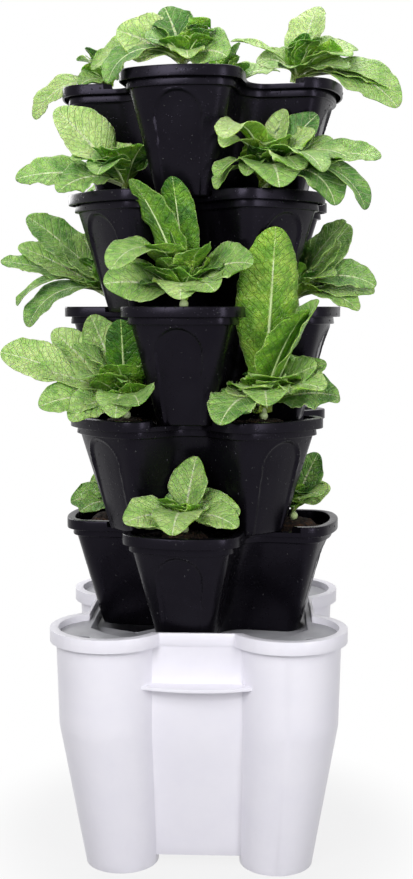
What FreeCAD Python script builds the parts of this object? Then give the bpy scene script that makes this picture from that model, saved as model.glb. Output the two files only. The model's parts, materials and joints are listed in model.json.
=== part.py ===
import FreeCAD, Part
import math
import os
import Sketcher
from FreeCAD import Placement, Rotation, Vector

# Vertical planter tower: a four-legged water reservoir, its lid, five stacked
# four-lobed pots with growing medium and lettuces, and the pump, riser and drip
# head that water them. Millimetres, +Z up. The origin is on the tower's axis at
# the level of the floor, and -Y is the front.

doc = FreeCAD.newDocument("PlanterTower")
sheet = doc.addObject("Spreadsheet::Sheet", "sizes")

# Driving dimensions: alias, value, what it is
SIZES = [
    ("tubHeight", 381, "floor to the top of the reservoir's rim"),
    ("tubWall", 3.5, "wall of the reservoir"),
    ("tubFloorLift", 15, "underside of the reservoir's floor above the ground"),
    ("legSpread", 121, "each foot's centre from the middle planes"),
    ("legRadius", 57, "foot radius at the ground"),
    ("lobeSpread", 137, "each lobe's centre from the middle planes, above the taper"),
    ("lobeRadiusLow", 79, "lobe radius where the taper starts"),
    ("lobeRadiusHigh", 82.5, "lobe radius under the rim"),
    ("taperTop", 230, "height at which the legs start to taper"),
    ("panelFoot", 141, "flat side panel from the axis at the floor"),
    ("panelLow", 178, "flat side panel from the axis where the taper starts"),
    ("panelHigh", 181, "flat side panel from the axis under the rim"),
    ("tubRimDepth", 20, "height of the reservoir's rim band"),
    ("tubRimProud", 9.5, "rim band outside the wall, round the lobes"),
    ("tubRimFlat", 0.8, "rim band outside the wall, at the flat panels"),
    ("tubRimSkin", 3, "thickness of the rim's top and skirt"),
    ("ledgeHeight", 303, "top of the hand-hold ledges"),
    ("ledgeThick", 5, "thickness of a hand-hold ledge"),
    ("ledgeSpan", 168, "width of a hand-hold ledge between the lobes"),
    ("ledgeReach", 212, "hand-hold ledge's front edge from the axis"),
    ("ledgeBow", 15, "how far the ledge's front edge bows out"),
    ("lidDrop", 10, "lid's top below the rim"),
    ("lidThick", 3, "lid thickness"),
    ("lidInset", 13.5, "lid's edge inside the rim's outer face"),
    ("lidGap", 0.4, "clearance round the lid"),
    ("lidLedge", 4, "shelf that the lid rests on"),
    ("dishDrop", 18, "dish floor below the lid's top"),
    ("dishFloorRadius", 172, "radius of the dish's floor"),
    ("dishMouthRadius", 205, "radius of the dish at the lid's top"),
    ("dishHalf", 169, "dish's flat sides from the axis"),
    ("lidHole", 20, "diameter of the access holes in the lid's lobes"),
    ("lidHoleRadius", 245, "access holes from the axis"),
    ("drainHole", 7, "diameter of the drain holes"),
    ("dishDrainRadius", 128, "dish's drain holes from the axis"),
    ("potHeight", 178, "height of one pot"),
    ("potNest", 8.5, "how far a pot sits down into the one below"),
    ("potWall", 3, "wall of a pot"),
    ("potReachLow", 163, "tip of a lobe from the axis, at the bottom"),
    ("potReachHigh", 205.5, "tip of a lobe from the axis, under the bands"),
    ("potHalfLow", 41.5, "half the width of a lobe, at the bottom"),
    ("potHalfHigh", 75, "half the width of a lobe, under the bands"),
    ("potCornerLow", 18, "corner radius of a lobe, at the bottom"),
    ("potCornerHigh", 26, "corner radius of a lobe, under the bands"),
    ("potNeckLow", 40, "fillet between two lobes, at the bottom"),
    ("potNeckHigh", 45, "fillet between two lobes, under the bands"),
    ("potCrownLow", 120, "radius of a lobe's outer face, at the bottom"),
    ("potCrownHigh", 170, "radius of a lobe's outer face, under the bands"),
    ("bandHeight", 27, "both bands together, from the rim down"),
    ("bandProud", 5.5, "lower band outside the wall"),
    ("rimHeight", 16, "upper band, the rim's skirt"),
    ("rimProud", 10, "rim's skirt outside the lower band"),
    ("archTopGap", 4, "top of the pressed arch below the bands"),
    ("archHalf", 36, "half the width of the pressed arch at its shoulders"),
    ("archHalfFoot", 28, "half the width of the pressed arch at its foot"),
    ("archDepth", 2.5, "depth of the pressed arch"),
    ("hubOuter", 42, "diameter of the pot's centre tube"),
    ("hubBore", 36, "bore of the pot's centre tube"),
    ("spigotOuter", 35.4, "diameter of the spigot on the centre tube"),
    ("spigotBore", 30, "bore of the spigot"),
    ("spigotHeight", 6.5, "how far a spigot stands up into the next pot"),
    ("seatGap", 0.3, "clearance where soft or loose pieces lie"),
    ("seatReach", 4, "seat outside the bottom of the pot above, at its tip"),
    ("seatSide", 12, "seat outside the bottom of the pot above, at its sides"),
    ("turnOdd", -8, "turn of the first, third and fifth pots"),
    ("turnEven", 41, "turn of the second and fourth pots"),
    ("soilDrop", 22, "growing medium below the pot's rim"),
    ("moundRadius", 50, "foot of the mound round each plant"),
    ("moundTopRadius", 24, "top of the mound round each plant"),
    ("moundHeight", 20, "height of the mound round each plant"),
    ("plantRadius", 150, "plants from the axis"),
    ("crownRadius", 13, "radius of a plant's heart"),
    ("crownHeight", 34, "height of a plant's heart"),
    ("leafThick", 7, "thickness of a leaf's solid at its rib"),
    ("leafStep", 1.3, "height of each leaf's root over the one before it"),
    ("riserOuter", 21.3, "diameter of the riser pipe"),
    ("riserBore", 15.8, "bore of the riser pipe"),
    ("riserProud", 81, "riser's end above the top pot's rim"),
    ("jointLift", 147, "riser's joints above the feet of the first and the third pot"),
    ("couplingOuter", 26.7, "diameter of a riser coupling"),
    ("couplingLength", 40, "length of a riser coupling"),
    ("slipGap", 0.15, "radial clearance of a slip joint"),
    ("pumpAxisHeight", 60, "height of the pump's shaft"),
    ("pumpLength", 70, "length of the pump's motor housing"),
    ("pumpWidth", 52, "width and height of the pump's motor housing"),
    ("voluteRadius", 27, "outside radius of the pump's impeller chamber"),
    ("voluteDepth", 24, "length of the pump's impeller chamber"),
    ("chamberRadius", 21, "inside radius of the impeller chamber"),
    ("impellerRadius", 18, "impeller radius"),
    ("impellerWidth", 12, "impeller width"),
    ("impellerDisc", 2, "thickness of the impeller's disc"),
    ("impellerGap", 2, "impeller behind the pump's front cover"),
    ("bladeThick", 1.6, "thickness of an impeller blade"),
    ("bladeCount", 6, "blades on the impeller"),
    ("rotorRadius", 12, "radius of the magnet rotor"),
    ("rotorLength", 44, "length of the magnet rotor"),
    ("shaftRadius", 1.5, "pump shaft radius"),
    ("runGap", 0.05, "radial running clearance of the impeller on its shaft"),
    ("rotorGap", 1, "clearance round the rotor in its well"),
    ("shaftSeat", 4, "depth of the shaft's seat behind the rotor's well"),
    ("coverThick", 4, "thickness of the pump's front cover"),
    ("intakeRadius", 7, "pump intake radius"),
    ("strainerDepth", 24, "depth of the pump's strainer"),
    ("strainerSkin", 2, "wall of the pump's strainer"),
    ("strainerSlots", 6, "slots in the strainer's front"),
    ("pumpBase", 6, "thickness of the pump's base plate"),
    ("pumpCorner", 6.5, "corner radius of the pump's motor housing"),
    ("cupRadius", 8, "radius of a suction foot"),
    ("cupInset", 2, "suction foot inside the base plate's edge"),
    ("outletOuter", 15.4, "diameter of the pump's outlet"),
    ("outletBore", 11, "bore of the pump's outlet"),
    ("outletTop", 118, "height of the pump outlet's end"),
    ("glandRadius", 6, "radius of the pump's cable gland"),
    ("glandTip", 4.2, "radius of the cable gland's end"),
    ("glandLength", 11, "length of the pump's cable gland"),
    ("headRadius", 13.5, "radius of the drip head"),
    ("headHeight", 27, "height of the drip head"),
    ("headSocket", 18, "depth of the drip head's socket"),
    ("headCap", 3, "thickness of the drip head's closed end"),
    ("headCrown", 9, "radius of the drip head's top, inside its bevel"),
    ("headBevel", 4, "depth of the bevel round the drip head's top"),
    ("nozzleRadius", 2.2, "radius of a drip nozzle"),
    ("nozzleBore", 1.1, "bore radius of a drip nozzle"),
    ("nozzleReach", 8, "how far a drip nozzle stands out of the head"),
    ("nozzleTurn", 20, "bearing of the first drip nozzle"),
]

for row, (alias, value, note) in enumerate(SIZES, start=1):
    sheet.set("A%d" % row, str(value))
    sheet.setAlias("A%d" % row, alias)
    sheet.set("B%d" % row, note)
doc.recompute()


def size(alias):
    return float(sheet.get(alias))


# Heights that several pieces share
lidTop = size("tubHeight") - size("lidDrop")
lidSeat = lidTop - size("lidThick")
dishFloor = lidTop - size("dishDrop")
rimLow = size("tubHeight") - size("tubRimDepth")
tubFloorTop = size("tubFloorLift") + size("tubWall")
potPitch = size("potHeight") - size("potNest")
riserTop = dishFloor + 5 * size("potHeight") - 4 * size("potNest") + size("riserProud")
bandLow = size("potHeight") - size("bandHeight")

parts = []


def addShape(label, shape, place=None):
    """A sub-part whose shape is worked out here."""
    feature = doc.addObject("Part::Feature", label)
    feature.Label = label
    feature.Shape = shape
    if place is not None:
        feature.Placement = place
    parts.append(feature)
    return feature


def primitive(kind, name, x="0", y="0", z="0", along="z", **sizes):
    """A Part primitive whose sizes and place are bound to the sheet."""
    thing = doc.addObject("Part::" + kind, name)
    turns = {"z": Rotation(), "x": Rotation(Vector(0, 1, 0), 90)}
    thing.Placement = Placement(Vector(0, 0, 0), turns[along])
    for prop, text in sizes.items():
        thing.setExpression(prop, text)
    for axis, text in (("x", x), ("y", y), ("z", z)):
        thing.setExpression("Placement.Base." + axis, text)
    return thing


def combine(kind, label, base, tool):
    """A Part boolean of two objects, kept as a sub-part."""
    result = doc.addObject("Part::" + kind, label)
    result.Base, result.Tool = base, tool
    parts.append(result)
    return result


def tube(label, outer, bore, length, z, **place):
    """A pipe as the cut of two cylinders, both bound to the sheet."""
    outside = primitive("Cylinder", label + "_outside", z=z, Radius=outer, Height=length, **place)
    inside = primitive("Cylinder", label + "_inside", z=z, Radius=bore, Height=length, **place)
    return combine("Cut", label, outside, inside)


def turnedBody(label, z, profile, keep=True):
    """A PartDesign body turned about Z; the profile is a closed list of (radius, height) expressions."""
    body = doc.addObject("PartDesign::Body", label)
    body.Label = label
    sketch = body.newObject("Sketcher::SketchObject", label + "_profile")
    plane = [item for item in body.Origin.OriginFeatures if item.Role == "XZ_Plane"][0]
    sketch.AttachmentSupport = (plane, [""])
    sketch.MapMode = "FlatFace"
    points = [Vector(float(sheet.evalExpression(r)), float(sheet.evalExpression(h)), 0) for r, h in profile]
    count = len(points)
    for index in range(count):
        sketch.addGeometry(Part.LineSegment(points[index], points[(index + 1) % count]), False)
    for index in range(count):
        sketch.addConstraint(Sketcher.Constraint("Coincident", index, 2, (index + 1) % count, 1))
    for index, (radius, height) in enumerate(profile):
        ways = (("DistanceX", points[index].x, radius), ("DistanceY", points[index].y, height))
        for kind, value, text in ways:
            if abs(value) < 1e-9:
                line = -2 if kind == "DistanceX" else -1
                sketch.addConstraint(Sketcher.Constraint("PointOnObject", index, 1, line))
                continue
            number = sketch.addConstraint(Sketcher.Constraint(kind, -1, 1, index, 1, value))
            sketch.setExpression("Constraints[%d]" % number, text)
    turned = body.newObject("PartDesign::Revolution", label + "_turned")
    turned.Profile = sketch
    turned.ReferenceAxis = (sketch, ["V_Axis"])
    turned.Angle = 360
    sketch.Visibility = False
    body.setExpression("Placement.Base.z", z)
    if keep:
        parts.append(body)
    return body


# Outlines and lofts

def arc(centre, radius, start, middle, end, z):
    """An arc through three bearings, in degrees."""
    def at(bearing):
        angle = math.radians(bearing)
        return Vector(centre[0] + radius * math.cos(angle), centre[1] + radius * math.sin(angle), z)
    return Part.Arc(at(start), at(middle), at(end)).toShape()


class Lobes:
    """Plan of a pot: four lobes with a gently crowned tip, rounded corners and filleted necks."""

    def __init__(self, reach, half, corner, neck, crown):
        self.reach, self.half, self.corner, self.neck, self.crown = reach, half, corner, neck, crown

    def grown(self, by, side=None):
        wider = by if side is None else side
        return Lobes(self.reach + by, self.half + wider, self.corner + by, self.neck - by, self.crown + by)

    def between(self, other, share):
        mix = [a + (b - a) * share for a, b in zip(self.values(), other.values())]
        return Lobes(*mix)

    def values(self):
        return (self.reach, self.half, self.corner, self.neck, self.crown)

    def wire(self, z):
        flat = self.half - self.corner
        crownX = self.reach - self.crown
        cornerX = crownX + math.sqrt((self.crown - self.corner) ** 2 - flat ** 2)
        swing = math.degrees(math.atan2(flat, cornerX - crownX))
        neckX = self.half + self.neck
        lobe = [
            arc((cornerX, -flat), self.corner, -90, -(90 + swing) / 2, -swing, z),
            arc((crownX, 0), self.crown, -swing, 0, swing, z),
            arc((cornerX, flat), self.corner, swing, (90 + swing) / 2, 90, z),
            Part.LineSegment(Vector(cornerX, self.half, z), Vector(neckX, self.half, z)).toShape(),
            arc((neckX, neckX), self.neck, 270, 225, 180, z),
            Part.LineSegment(Vector(self.half, neckX, z), Vector(self.half, cornerX, z)).toShape(),
        ]
        edges = []
        for quarter in range(4):
            for edge in lobe:
                turned = edge.copy()
                turned.rotate(Vector(0, 0, 0), Vector(0, 0, 1), 90 * quarter)
                edges.append(turned)
        return Part.Wire(edges)

    def prism(self, low, high):
        return Part.Face(self.wire(low)).extrude(Vector(0, 0, high - low))


def loft(lowWire, highWire):
    return Part.makeLoft([lowWire, highWire], True, True)


def fourTimes(shape):
    """The shape and its three copies turned about the axis, fused."""
    copies = []
    for quarter in range(4):
        turned = shape.copy()
        turned.rotate(Vector(0, 0, 0), Vector(0, 0, 1), 90 * quarter)
        copies.append(turned)
    return copies[0].multiFuse(copies[1:])


def cylinder(radius, low, high, x=0, y=0):
    return Part.makeCylinder(radius, high - low, Vector(x, y, low))


def squarePrism(half, low, high):
    return Part.makeBox(2 * half, 2 * half, high - low, Vector(-half, -half, low))


def squareWire(half, z):
    corners = [
        Vector(-half, -half, z), Vector(half, -half, z), Vector(half, half, z), Vector(-half, half, z)]
    return Part.makePolygon(corners + corners[:1])


def circleWire(radius, spread, z):
    return Part.Wire([Part.makeCircle(radius, Vector(spread, spread, z))])


# Reservoir

def leaningLobes(low, high, spreads, radii):
    """Four leaning cones, one per leg, from one height to another."""
    return fourTimes(loft(circleWire(radii[0], spreads[0], low), circleWire(radii[1], spreads[1], high)))


def tubPlan(low, high, inset, flatInset=None):
    """The reservoir's straight outline at the rim, moved in from the wall under the rim."""
    radius = size("lobeRadiusHigh") - inset
    spread = size("lobeSpread")
    lobes = fourTimes(cylinder(radius, low, high, spread, spread))
    panel = size("panelHigh") - (inset if flatInset is None else flatInset)
    return lobes.fuse(squarePrism(panel, low, high))


def tubBody(inset, footLow, panelLow, top):
    """The tapered legs and the upright part above them, moved in from the outer face."""
    knee = size("taperTop")
    spread = size("lobeSpread")
    kneeRadius = size("lobeRadiusLow") - inset
    kneePanel = size("panelLow") - inset
    footShare = footLow / knee
    footSpread = size("legSpread") + (spread - size("legSpread")) * footShare
    footRadius = size("legRadius") + (size("lobeRadiusLow") - size("legRadius")) * footShare - inset
    panelShare = (panelLow - size("tubFloorLift")) / (knee - size("tubFloorLift"))
    footPanel = size("panelFoot") + (size("panelLow") - size("panelFoot")) * panelShare - inset
    legs = leaningLobes(footLow, knee, (footSpread, spread), (footRadius, kneeRadius))
    lobes = leaningLobes(knee, top, (spread, spread), (kneeRadius, size("lobeRadiusHigh") - inset))
    lowPanels = loft(squareWire(footPanel, panelLow), squareWire(kneePanel, knee))
    highPanels = loft(squareWire(kneePanel, knee), squareWire(size("panelHigh") - inset, top))
    return legs.multiFuse([lobes, lowPanels, highPanels])


def handHold():
    """A thin ledge across the front recess, bowed forwards."""
    half = size("ledgeSpan") / 2
    front = -size("ledgeReach")
    side = front + size("ledgeBow")
    back = -(size("panelLow") - 2 * size("tubWall"))
    z = size("ledgeHeight") - size("ledgeThick")
    bow = Part.Arc(Vector(-half, side, z), Vector(0, front, z), Vector(half, side, z)).toShape()
    rest = Part.makePolygon([
        Vector(half, side, z), Vector(half, back, z), Vector(-half, back, z), Vector(-half, side, z)])
    return Part.Face(Part.Wire([bow] + rest.Edges)).extrude(Vector(0, 0, size("ledgeThick")))


def reservoir():
    wall = size("tubWall")
    rimTop = size("tubHeight")
    proud = size("tubRimProud")
    skin = size("tubRimSkin")
    outer = tubBody(0, 0, size("tubFloorLift"), rimLow + skin)
    rim = tubPlan(rimLow, rimTop, -proud, -size("tubRimFlat"))
    hollow = tubPlan(rimLow, rimTop - skin, skin - proud, 0).cut(tubPlan(rimLow, rimTop - skin, 0))
    ledge = handHold()
    back = ledge.copy()
    back.rotate(Vector(0, 0, 0), Vector(0, 0, 1), 180)
    outer = outer.multiFuse([rim.cut(hollow), ledge, back])
    shelfInset = size("lidInset") - proud + size("lidLedge")
    shelfLow = lidSeat - 3 * wall
    inside = tubBody(wall, wall, tubFloorTop, shelfLow)
    throat = tubPlan(shelfLow, lidSeat, shelfInset)
    pocket = tubPlan(lidSeat, rimTop, size("lidInset") - proud - size("lidGap"))
    return outer.cut(inside.multiFuse([throat, pocket]))


# Lid of the reservoir

def lidDish(grow):
    """The sloping dish with flat sides, grown outwards and downwards by the lid's thickness or not."""
    low = dishFloor - grow
    cone = Part.makeCone(
        size("dishFloorRadius") + grow, size("dishMouthRadius") + grow, size("dishDrop"), Vector(0, 0, low))
    mouth = cylinder(size("dishMouthRadius") + grow, lidTop - grow, lidTop + size("lidThick"))
    return cone.fuse(mouth).common(squarePrism(size("dishHalf") + grow, low, lidTop))


def reservoirLid():
    thick = size("lidThick")
    plate = tubPlan(lidSeat, lidTop, size("lidInset") - size("tubRimProud"))
    cup = lidDish(thick)
    spigot = cylinder(size("spigotOuter") / 2, dishFloor - thick, dishFloor + size("spigotHeight"))
    solid = plate.fuse(cup).cut(lidDish(0)).fuse(spigot)
    solid = solid.cut(cylinder(size("spigotBore") / 2, dishFloor - thick, lidTop))
    hole = cylinder(size("lidHole") / 2, lidSeat, lidTop, size("lidHoleRadius"))
    drain = cylinder(size("drainHole") / 2, dishFloor - thick, dishFloor, size("dishDrainRadius"))
    tools = []
    for quarter in range(4):
        for tool, start in ((hole, 45), (drain, 45 + size("turnOdd"))):
            turned = tool.copy()
            turned.rotate(Vector(0, 0, 0), Vector(0, 0, 1), start + 90 * quarter)
            tools.append(turned)
    return solid.cut(tools)


# Pots

wallLow = Lobes(
    size("potReachLow"), size("potHalfLow"), size("potCornerLow"), size("potNeckLow"), size("potCrownLow"))
wallHigh = Lobes(
    size("potReachHigh"), size("potHalfHigh"), size("potCornerHigh"), size("potNeckHigh"),
    size("potCrownHigh"))
bandPlan = wallHigh.grown(size("bandProud"))
rimPlan = bandPlan.grown(size("rimProud"))


def potWall(inset, low):
    """The tapered lobes from a height up to the bands, moved in from the outer face."""
    start = wallLow.between(wallHigh, low / bandLow)
    return loft(start.grown(-inset).wire(low), wallHigh.grown(-inset).wire(bandLow))


def archBlock(margin):
    """A block with the outline of the pressed arch, reaching out through the front of a lobe."""
    top = bandLow - size("archTopGap") + margin
    half = size("archHalf") + margin
    foot = size("archHalfFoot") + margin
    start = size("potHalfHigh")
    spring = top - half
    low = -margin
    left, crown, right = Vector(start, half, spring), Vector(start, 0, top), Vector(start, -half, spring)
    arch = Part.Arc(left, crown, right).toShape()
    rest = Part.makePolygon([right, Vector(start, -foot, low), Vector(start, foot, low), left])
    return Part.Face(Part.Wire([arch] + rest.Edges)).extrude(Vector(size("potReachHigh"), 0, 0))


def pressed(inset, low, margin):
    """The tapered wall's solid with an arch pressed into each lobe."""
    block = archBlock(margin).cut(potWall(inset + size("archDepth"), low))
    tools = []
    for quarter in range(4):
        turned = block.copy()
        turned.rotate(Vector(0, 0, 0), Vector(0, 0, 1), 90 * quarter)
        tools.append(turned)
    return potWall(inset, low).cut(tools)


def pot():
    wall = size("potWall")
    top = size("potHeight")
    skirtLow = top - size("rimHeight")
    band = bandPlan.prism(bandLow, top)
    skirt = rimPlan.prism(skirtLow, top)
    channel = rimPlan.grown(-wall).prism(skirtLow, top - wall).cut(bandPlan.prism(skirtLow, top - wall))
    outer = pressed(0, 0, 0).multiFuse([band, skirt.cut(channel)])
    cavity = pressed(wall, wall, wall).fuse(bandPlan.grown(-wall).prism(bandLow + wall, top))
    neck = wallHigh.grown(-wall).prism(bandLow, bandLow + wall)
    shell = outer.cut(cavity.fuse(neck))
    seat = wallLow.grown(size("seatReach"), size("seatSide")).prism(potPitch, top)
    floor = wallLow.grown(size("seatReach"), size("seatSide")).prism(potPitch - wall, potPitch)
    for piece in (seat, floor):
        piece.rotate(Vector(0, 0, 0), Vector(0, 0, 1), 45)
    inside = bandPlan.grown(-wall).prism(potPitch - wall, potPitch)
    ring = rimPlan.prism(potPitch - wall, potPitch).cut(inside)
    shell = shell.cut(seat).fuse(ring.common(floor))
    hubTop = potPitch - size("seatGap")
    hub = cylinder(size("hubOuter") / 2, 0, hubTop).fuse(
        cylinder(size("spigotOuter") / 2, hubTop, potPitch + size("spigotHeight")))
    bores = [
        cylinder(size("hubBore") / 2, 0, hubTop - wall),
        cylinder(size("spigotBore") / 2, 0, potPitch + size("spigotHeight")),
    ]
    for quarter in range(4):
        for distance in (size("potReachLow") - 2 * size("potCornerLow"), size("potHalfHigh")):
            bore = cylinder(size("drainHole") / 2, 0, wall, distance)
            bore.rotate(Vector(0, 0, 0), Vector(0, 0, 1), 90 * quarter)
            bores.append(bore)
    return shell.fuse(hub).cut(bores)


def growingMedium():
    """The medium in one pot: the pot's inside, with a low mound at each plant."""
    inset = size("potWall") + size("archDepth") + size("seatGap")
    low = size("potWall") + size("seatGap")
    level = size("potHeight") - size("soilDrop")
    start = wallLow.between(wallHigh, low / bandLow)
    fill = loft(start.grown(-inset).wire(low), wallHigh.grown(-inset).wire(bandLow))
    upper = wallHigh.grown(-inset).prism(bandLow, level)
    foot = Vector(size("plantRadius"), 0, level)
    mound = Part.makeCone(size("moundRadius"), size("moundTopRadius"), size("moundHeight"), foot)
    mounds = fourTimes(mound)
    hub = cylinder(size("hubOuter") / 2 + size("seatGap"), 0, size("potHeight"))
    return fill.multiFuse([upper, mounds]).cut(hub)


# Plants: each leaf is heading, rise, length, width, droop and roll. The heading is
# in degrees round the axis from +X, the rise is its first slope above level, the
# droop is how far it has turned down at its tip, and the roll is how far its blade
# is turned about its rib.

# Share of the length, share of the full width, share of the roll
LEAF_STATIONS = ((0.0, 0.2, 0), (0.3, 0.45, 0.5), (0.6, 1.0, 1), (0.85, 0.8, 1), (1.0, 0.25, 1))


def leafSections(root, leaf):
    """Corners of the leaf's sections: left edge, rib, right edge and upper side."""
    heading, rise, length, width, droop, roll = leaf
    along = Vector(math.cos(math.radians(heading)), math.sin(math.radians(heading)), 0)
    across = Vector(-along.y, along.x, 0)
    bend = math.radians(droop)
    first = math.radians(rise)
    sections = []
    for share, fullness, rolled in LEAF_STATIONS:
        slope = first - bend * share
        # Distance out and up along an arc of constant bend
        out = length * (math.sin(first) - math.sin(slope)) / bend
        up = length * (math.cos(slope) - math.cos(first)) / bend
        centre = root + along * out + Vector(0, 0, up)
        level = Vector(-along.x * math.sin(slope), -along.y * math.sin(slope), math.cos(slope))
        turn = math.radians(roll * rolled)
        normal = level * math.cos(turn) + across * math.sin(turn)
        half = (across * math.cos(turn) - level * math.sin(turn)) * (width / 2 * fullness)
        deep = normal * (size("leafThick") * (1 - 0.5 * share))
        sections.append((centre + half, centre - deep * 0.75, centre - half, centre + deep * 0.25))
    return sections


def leafSolid(root, leaf):
    """One leaf as a closed solid of flat facets, folded alike above and below."""
    sections = leafSections(root, leaf)
    faces = [sections[0], tuple(reversed(sections[-1]))]
    for near, far in zip(sections, sections[1:]):
        for edge, middle, after in ((0, 1, 2), (2, 3, 0)):
            faces.append((near[edge], far[edge], far[middle]))
            faces.append((near[edge], far[middle], near[middle]))
            faces.append((near[middle], far[middle], near[after]))
            faces.append((near[after], far[middle], far[after]))
    shell = Part.makeShell([Part.Face(Part.makePolygon(list(face) + [face[0]])) for face in faces])
    return Part.makeSolid(shell)


def lettuce(bearing, leaves):
    """One plant on its mound: a short heart with its leaves."""
    distance = size("plantRadius")
    angle = math.radians(bearing)
    level = size("potHeight") - size("soilDrop") + size("moundHeight") + size("seatGap")
    foot = Vector(distance * math.cos(angle), distance * math.sin(angle), level)
    heart = Part.makeCylinder(size("crownRadius"), size("crownHeight"), foot)
    blades = []
    for index, leaf in enumerate(leaves):
        level = size("crownHeight") / 2 + size("leafStep") * (index - len(leaves) / 2)
        blades.append(leafSolid(foot + Vector(0, 0, level), leaf))
    return heart.multiFuse(blades)


ODD_SIDES = ("front", "right", "back", "left")
EVEN_SIDES = ("front_right", "back_right", "back_left", "front_left")

LEAVES = {
    "lettuce_1_front": [
        (30, 82, 105, 66, 6, -20), (188, 24, 95, 46, 40, 50), (215, 33, 105, 58, 60, 40),
        (-98, 52, 100, 64, 112, 0), (-12, 30, 90, 54, 40, -50), (10, 45, 75, 42, 30, -40),
        (130, 60, 55, 36, 40, 40), (-32, 26, 98, 48, 60, -30)],
    "lettuce_1_right": [
        (10, 72, 100, 48, 15, -60), (-50, 60, 80, 56, 70, -20), (-8, 50, 70, 40, 40, -60),
        (120, 70, 60, 36, 40, 30)],
    "lettuce_1_left": [
        (175, 29, 75, 50, 50, 50), (130, 55, 72, 36, 30, 40), (215, 20, 64, 46, 60, 30)],
    "lettuce_2_front_right": [
        (-70, 80, 285, 86, 6, 0), (-29, 66, 195, 72, 8, -40), (-135, 52, 85, 54, 60, 20),
        (-110, 62, 100, 70, 75, 0), (-75, 66, 110, 76, 70, 0), (-20, 58, 110, 70, 40, -45),
        (-12, 34, 120, 64, 50, -40), (-118, 37, 142, 66, 90, 10), (3, 50, 118, 52, 30, -45)],
    "lettuce_2_back_right": [
        (10, 40, 130, 44, 85, -40), (60, 50, 120, 50, 50, 0), (100, 45, 110, 46, 60, 0),
        (40, 70, 120, 44, 30, 0)],
    "lettuce_2_front_left": [
        (192, 40, 215, 64, 25, 55), (158, 72, 160, 60, 15, 60), (172, 52, 170, 56, 15, 50),
        (-95, 66, 120, 60, 55, 0), (-75, 32, 150, 60, 50, -25), (-95, 52, 122, 58, 112, 0),
        (205, 26, 145, 56, 45, 50), (195, 38, 155, 36, 30, 50), (222, 28, 110, 50, 80, 40),
        (-100, 77, 138, 50, 10, 0)],
    "lettuce_3_front": [
        (-130, 75, 200, 54, 30, 0), (-98, 82, 182, 48, 12, 0), (-30, 56, 140, 66, 65, -50),
        (225, 88, 190, 54, 145, 20), (200, 28, 125, 64, 40, 60), (-92, 60, 85, 74, 130, 0),
        (-60, 42, 100, 56, 80, -30), (-142, 74, 140, 34, 15, 20)],
    "lettuce_3_left": [
        (178, 57, 195, 58, 25, 55), (165, 62, 150, 40, 20, 40), (188, 40, 172, 50, 25, 50),
        (186, 32, 190, 34, 25, 45), (192, 48, 180, 26, 105, 20), (200, 34, 165, 46, 110, 30),
        (165, 66, 112, 62, 10, 60), (185, 55, 120, 44, 20, 50)],
    "lettuce_3_right": [
        (15, 58, 150, 56, 10, -50), (-5, 60, 115, 42, 12, -50), (-8, 30, 130, 56, 50, -40),
        (-25, 24, 115, 44, 70, -30), (40, 62, 120, 56, 15, -30), (-45, 50, 90, 50, 60, -20)],
    "lettuce_4_front_left": [
        (195, 55, 155, 76, 10, 65), (150, 75, 78, 62, 30, 60), (20, 70, 72, 42, 20, -50),
        (190, 22, 168, 52, 36, 50), (214, 26, 118, 48, 70, 40), (-112, 58, 105, 52, 110, 0),
        (235, 50, 80, 46, 60, 30), (165, 50, 70, 46, 50, 40)],
    "lettuce_4_front_right": [
        (-114, 88, 205, 42, 135, 10), (-122, 86, 150, 36, 125, 15), (-80, 65, 125, 84, 140, 0),
        (-35, 47, 155, 72, 125, -20), (-10, 40, 185, 52, 55, -40), (-22, 45, 195, 46, 120, -20),
        (30, 78, 118, 36, 10, -30), (-128, 55, 130, 34, 110, 0), (-140, 48, 115, 32, 115, 0),
        (-105, 54, 100, 32, 108, 0), (0, 61, 125, 54, 20, -60), (-20, 60, 105, 60, 40, -40),
        (-60, 70, 90, 54, 60, -20)],
    "lettuce_5_front": [
        (185, 40, 110, 78, 25, 65), (130, 84, 90, 60, 15, 50), (-30, 40, 82, 68, 75, -50),
        (172, 38, 150, 56, 80, 45), (200, 40, 145, 46, 115, 30), (60, 62, 95, 36, 25, 0),
        (215, 50, 70, 50, 60, 40), (-80, 30, 72, 46, 80, 0)],
    "lettuce_5_left": [
        (186, 27, 150, 48, 80, 45), (175, 30, 66, 42, 60, 30), (110, 50, 60, 36, 40, 20),
        (215, 25, 60, 42, 70, 30)],
    "lettuce_5_right": [
        (60, 71, 148, 58, 20, 0), (12, 62, 88, 72, 45, -60), (0, 24, 140, 58, 55, -30),
        (-8, 18, 192, 80, 65, -45), (5, 22, 190, 52, 60, -30), (175, 60, 125, 18, 60, 30),
        (150, 56, 84, 46, 60, 50), (-25, 28, 90, 48, 50, -30), (-100, 30, 62, 42, 60, 0)],
}

# Leaves of a plant that has none written down, with headings from its own bearing
ROSETTE = [
    (-105, 78, 100, 50, 22, 0), (-66, 56, 135, 56, 60, -25), (-30, 42, 125, 62, 80, -15),
    (8, 66, 160, 60, 40, 0), (42, 42, 130, 58, 85, 15), (52, 72, 106, 46, 30, 25), (150, 86, 80, 38, 10, 0)]


def plantLeaves(name, number, bearing):
    """The plant's own leaves, or the rosette at a size and turn that vary with the tier."""
    if name in LEAVES:
        return LEAVES[name]
    twist = 6 * (number % 3)
    stretch = 0.8 + 0.1 * (number % 3)
    return [(bearing + turn + twist, rise, length * stretch, width * stretch, droop, roll)
            for turn, rise, length, width, droop, roll in ROSETTE]


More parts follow.
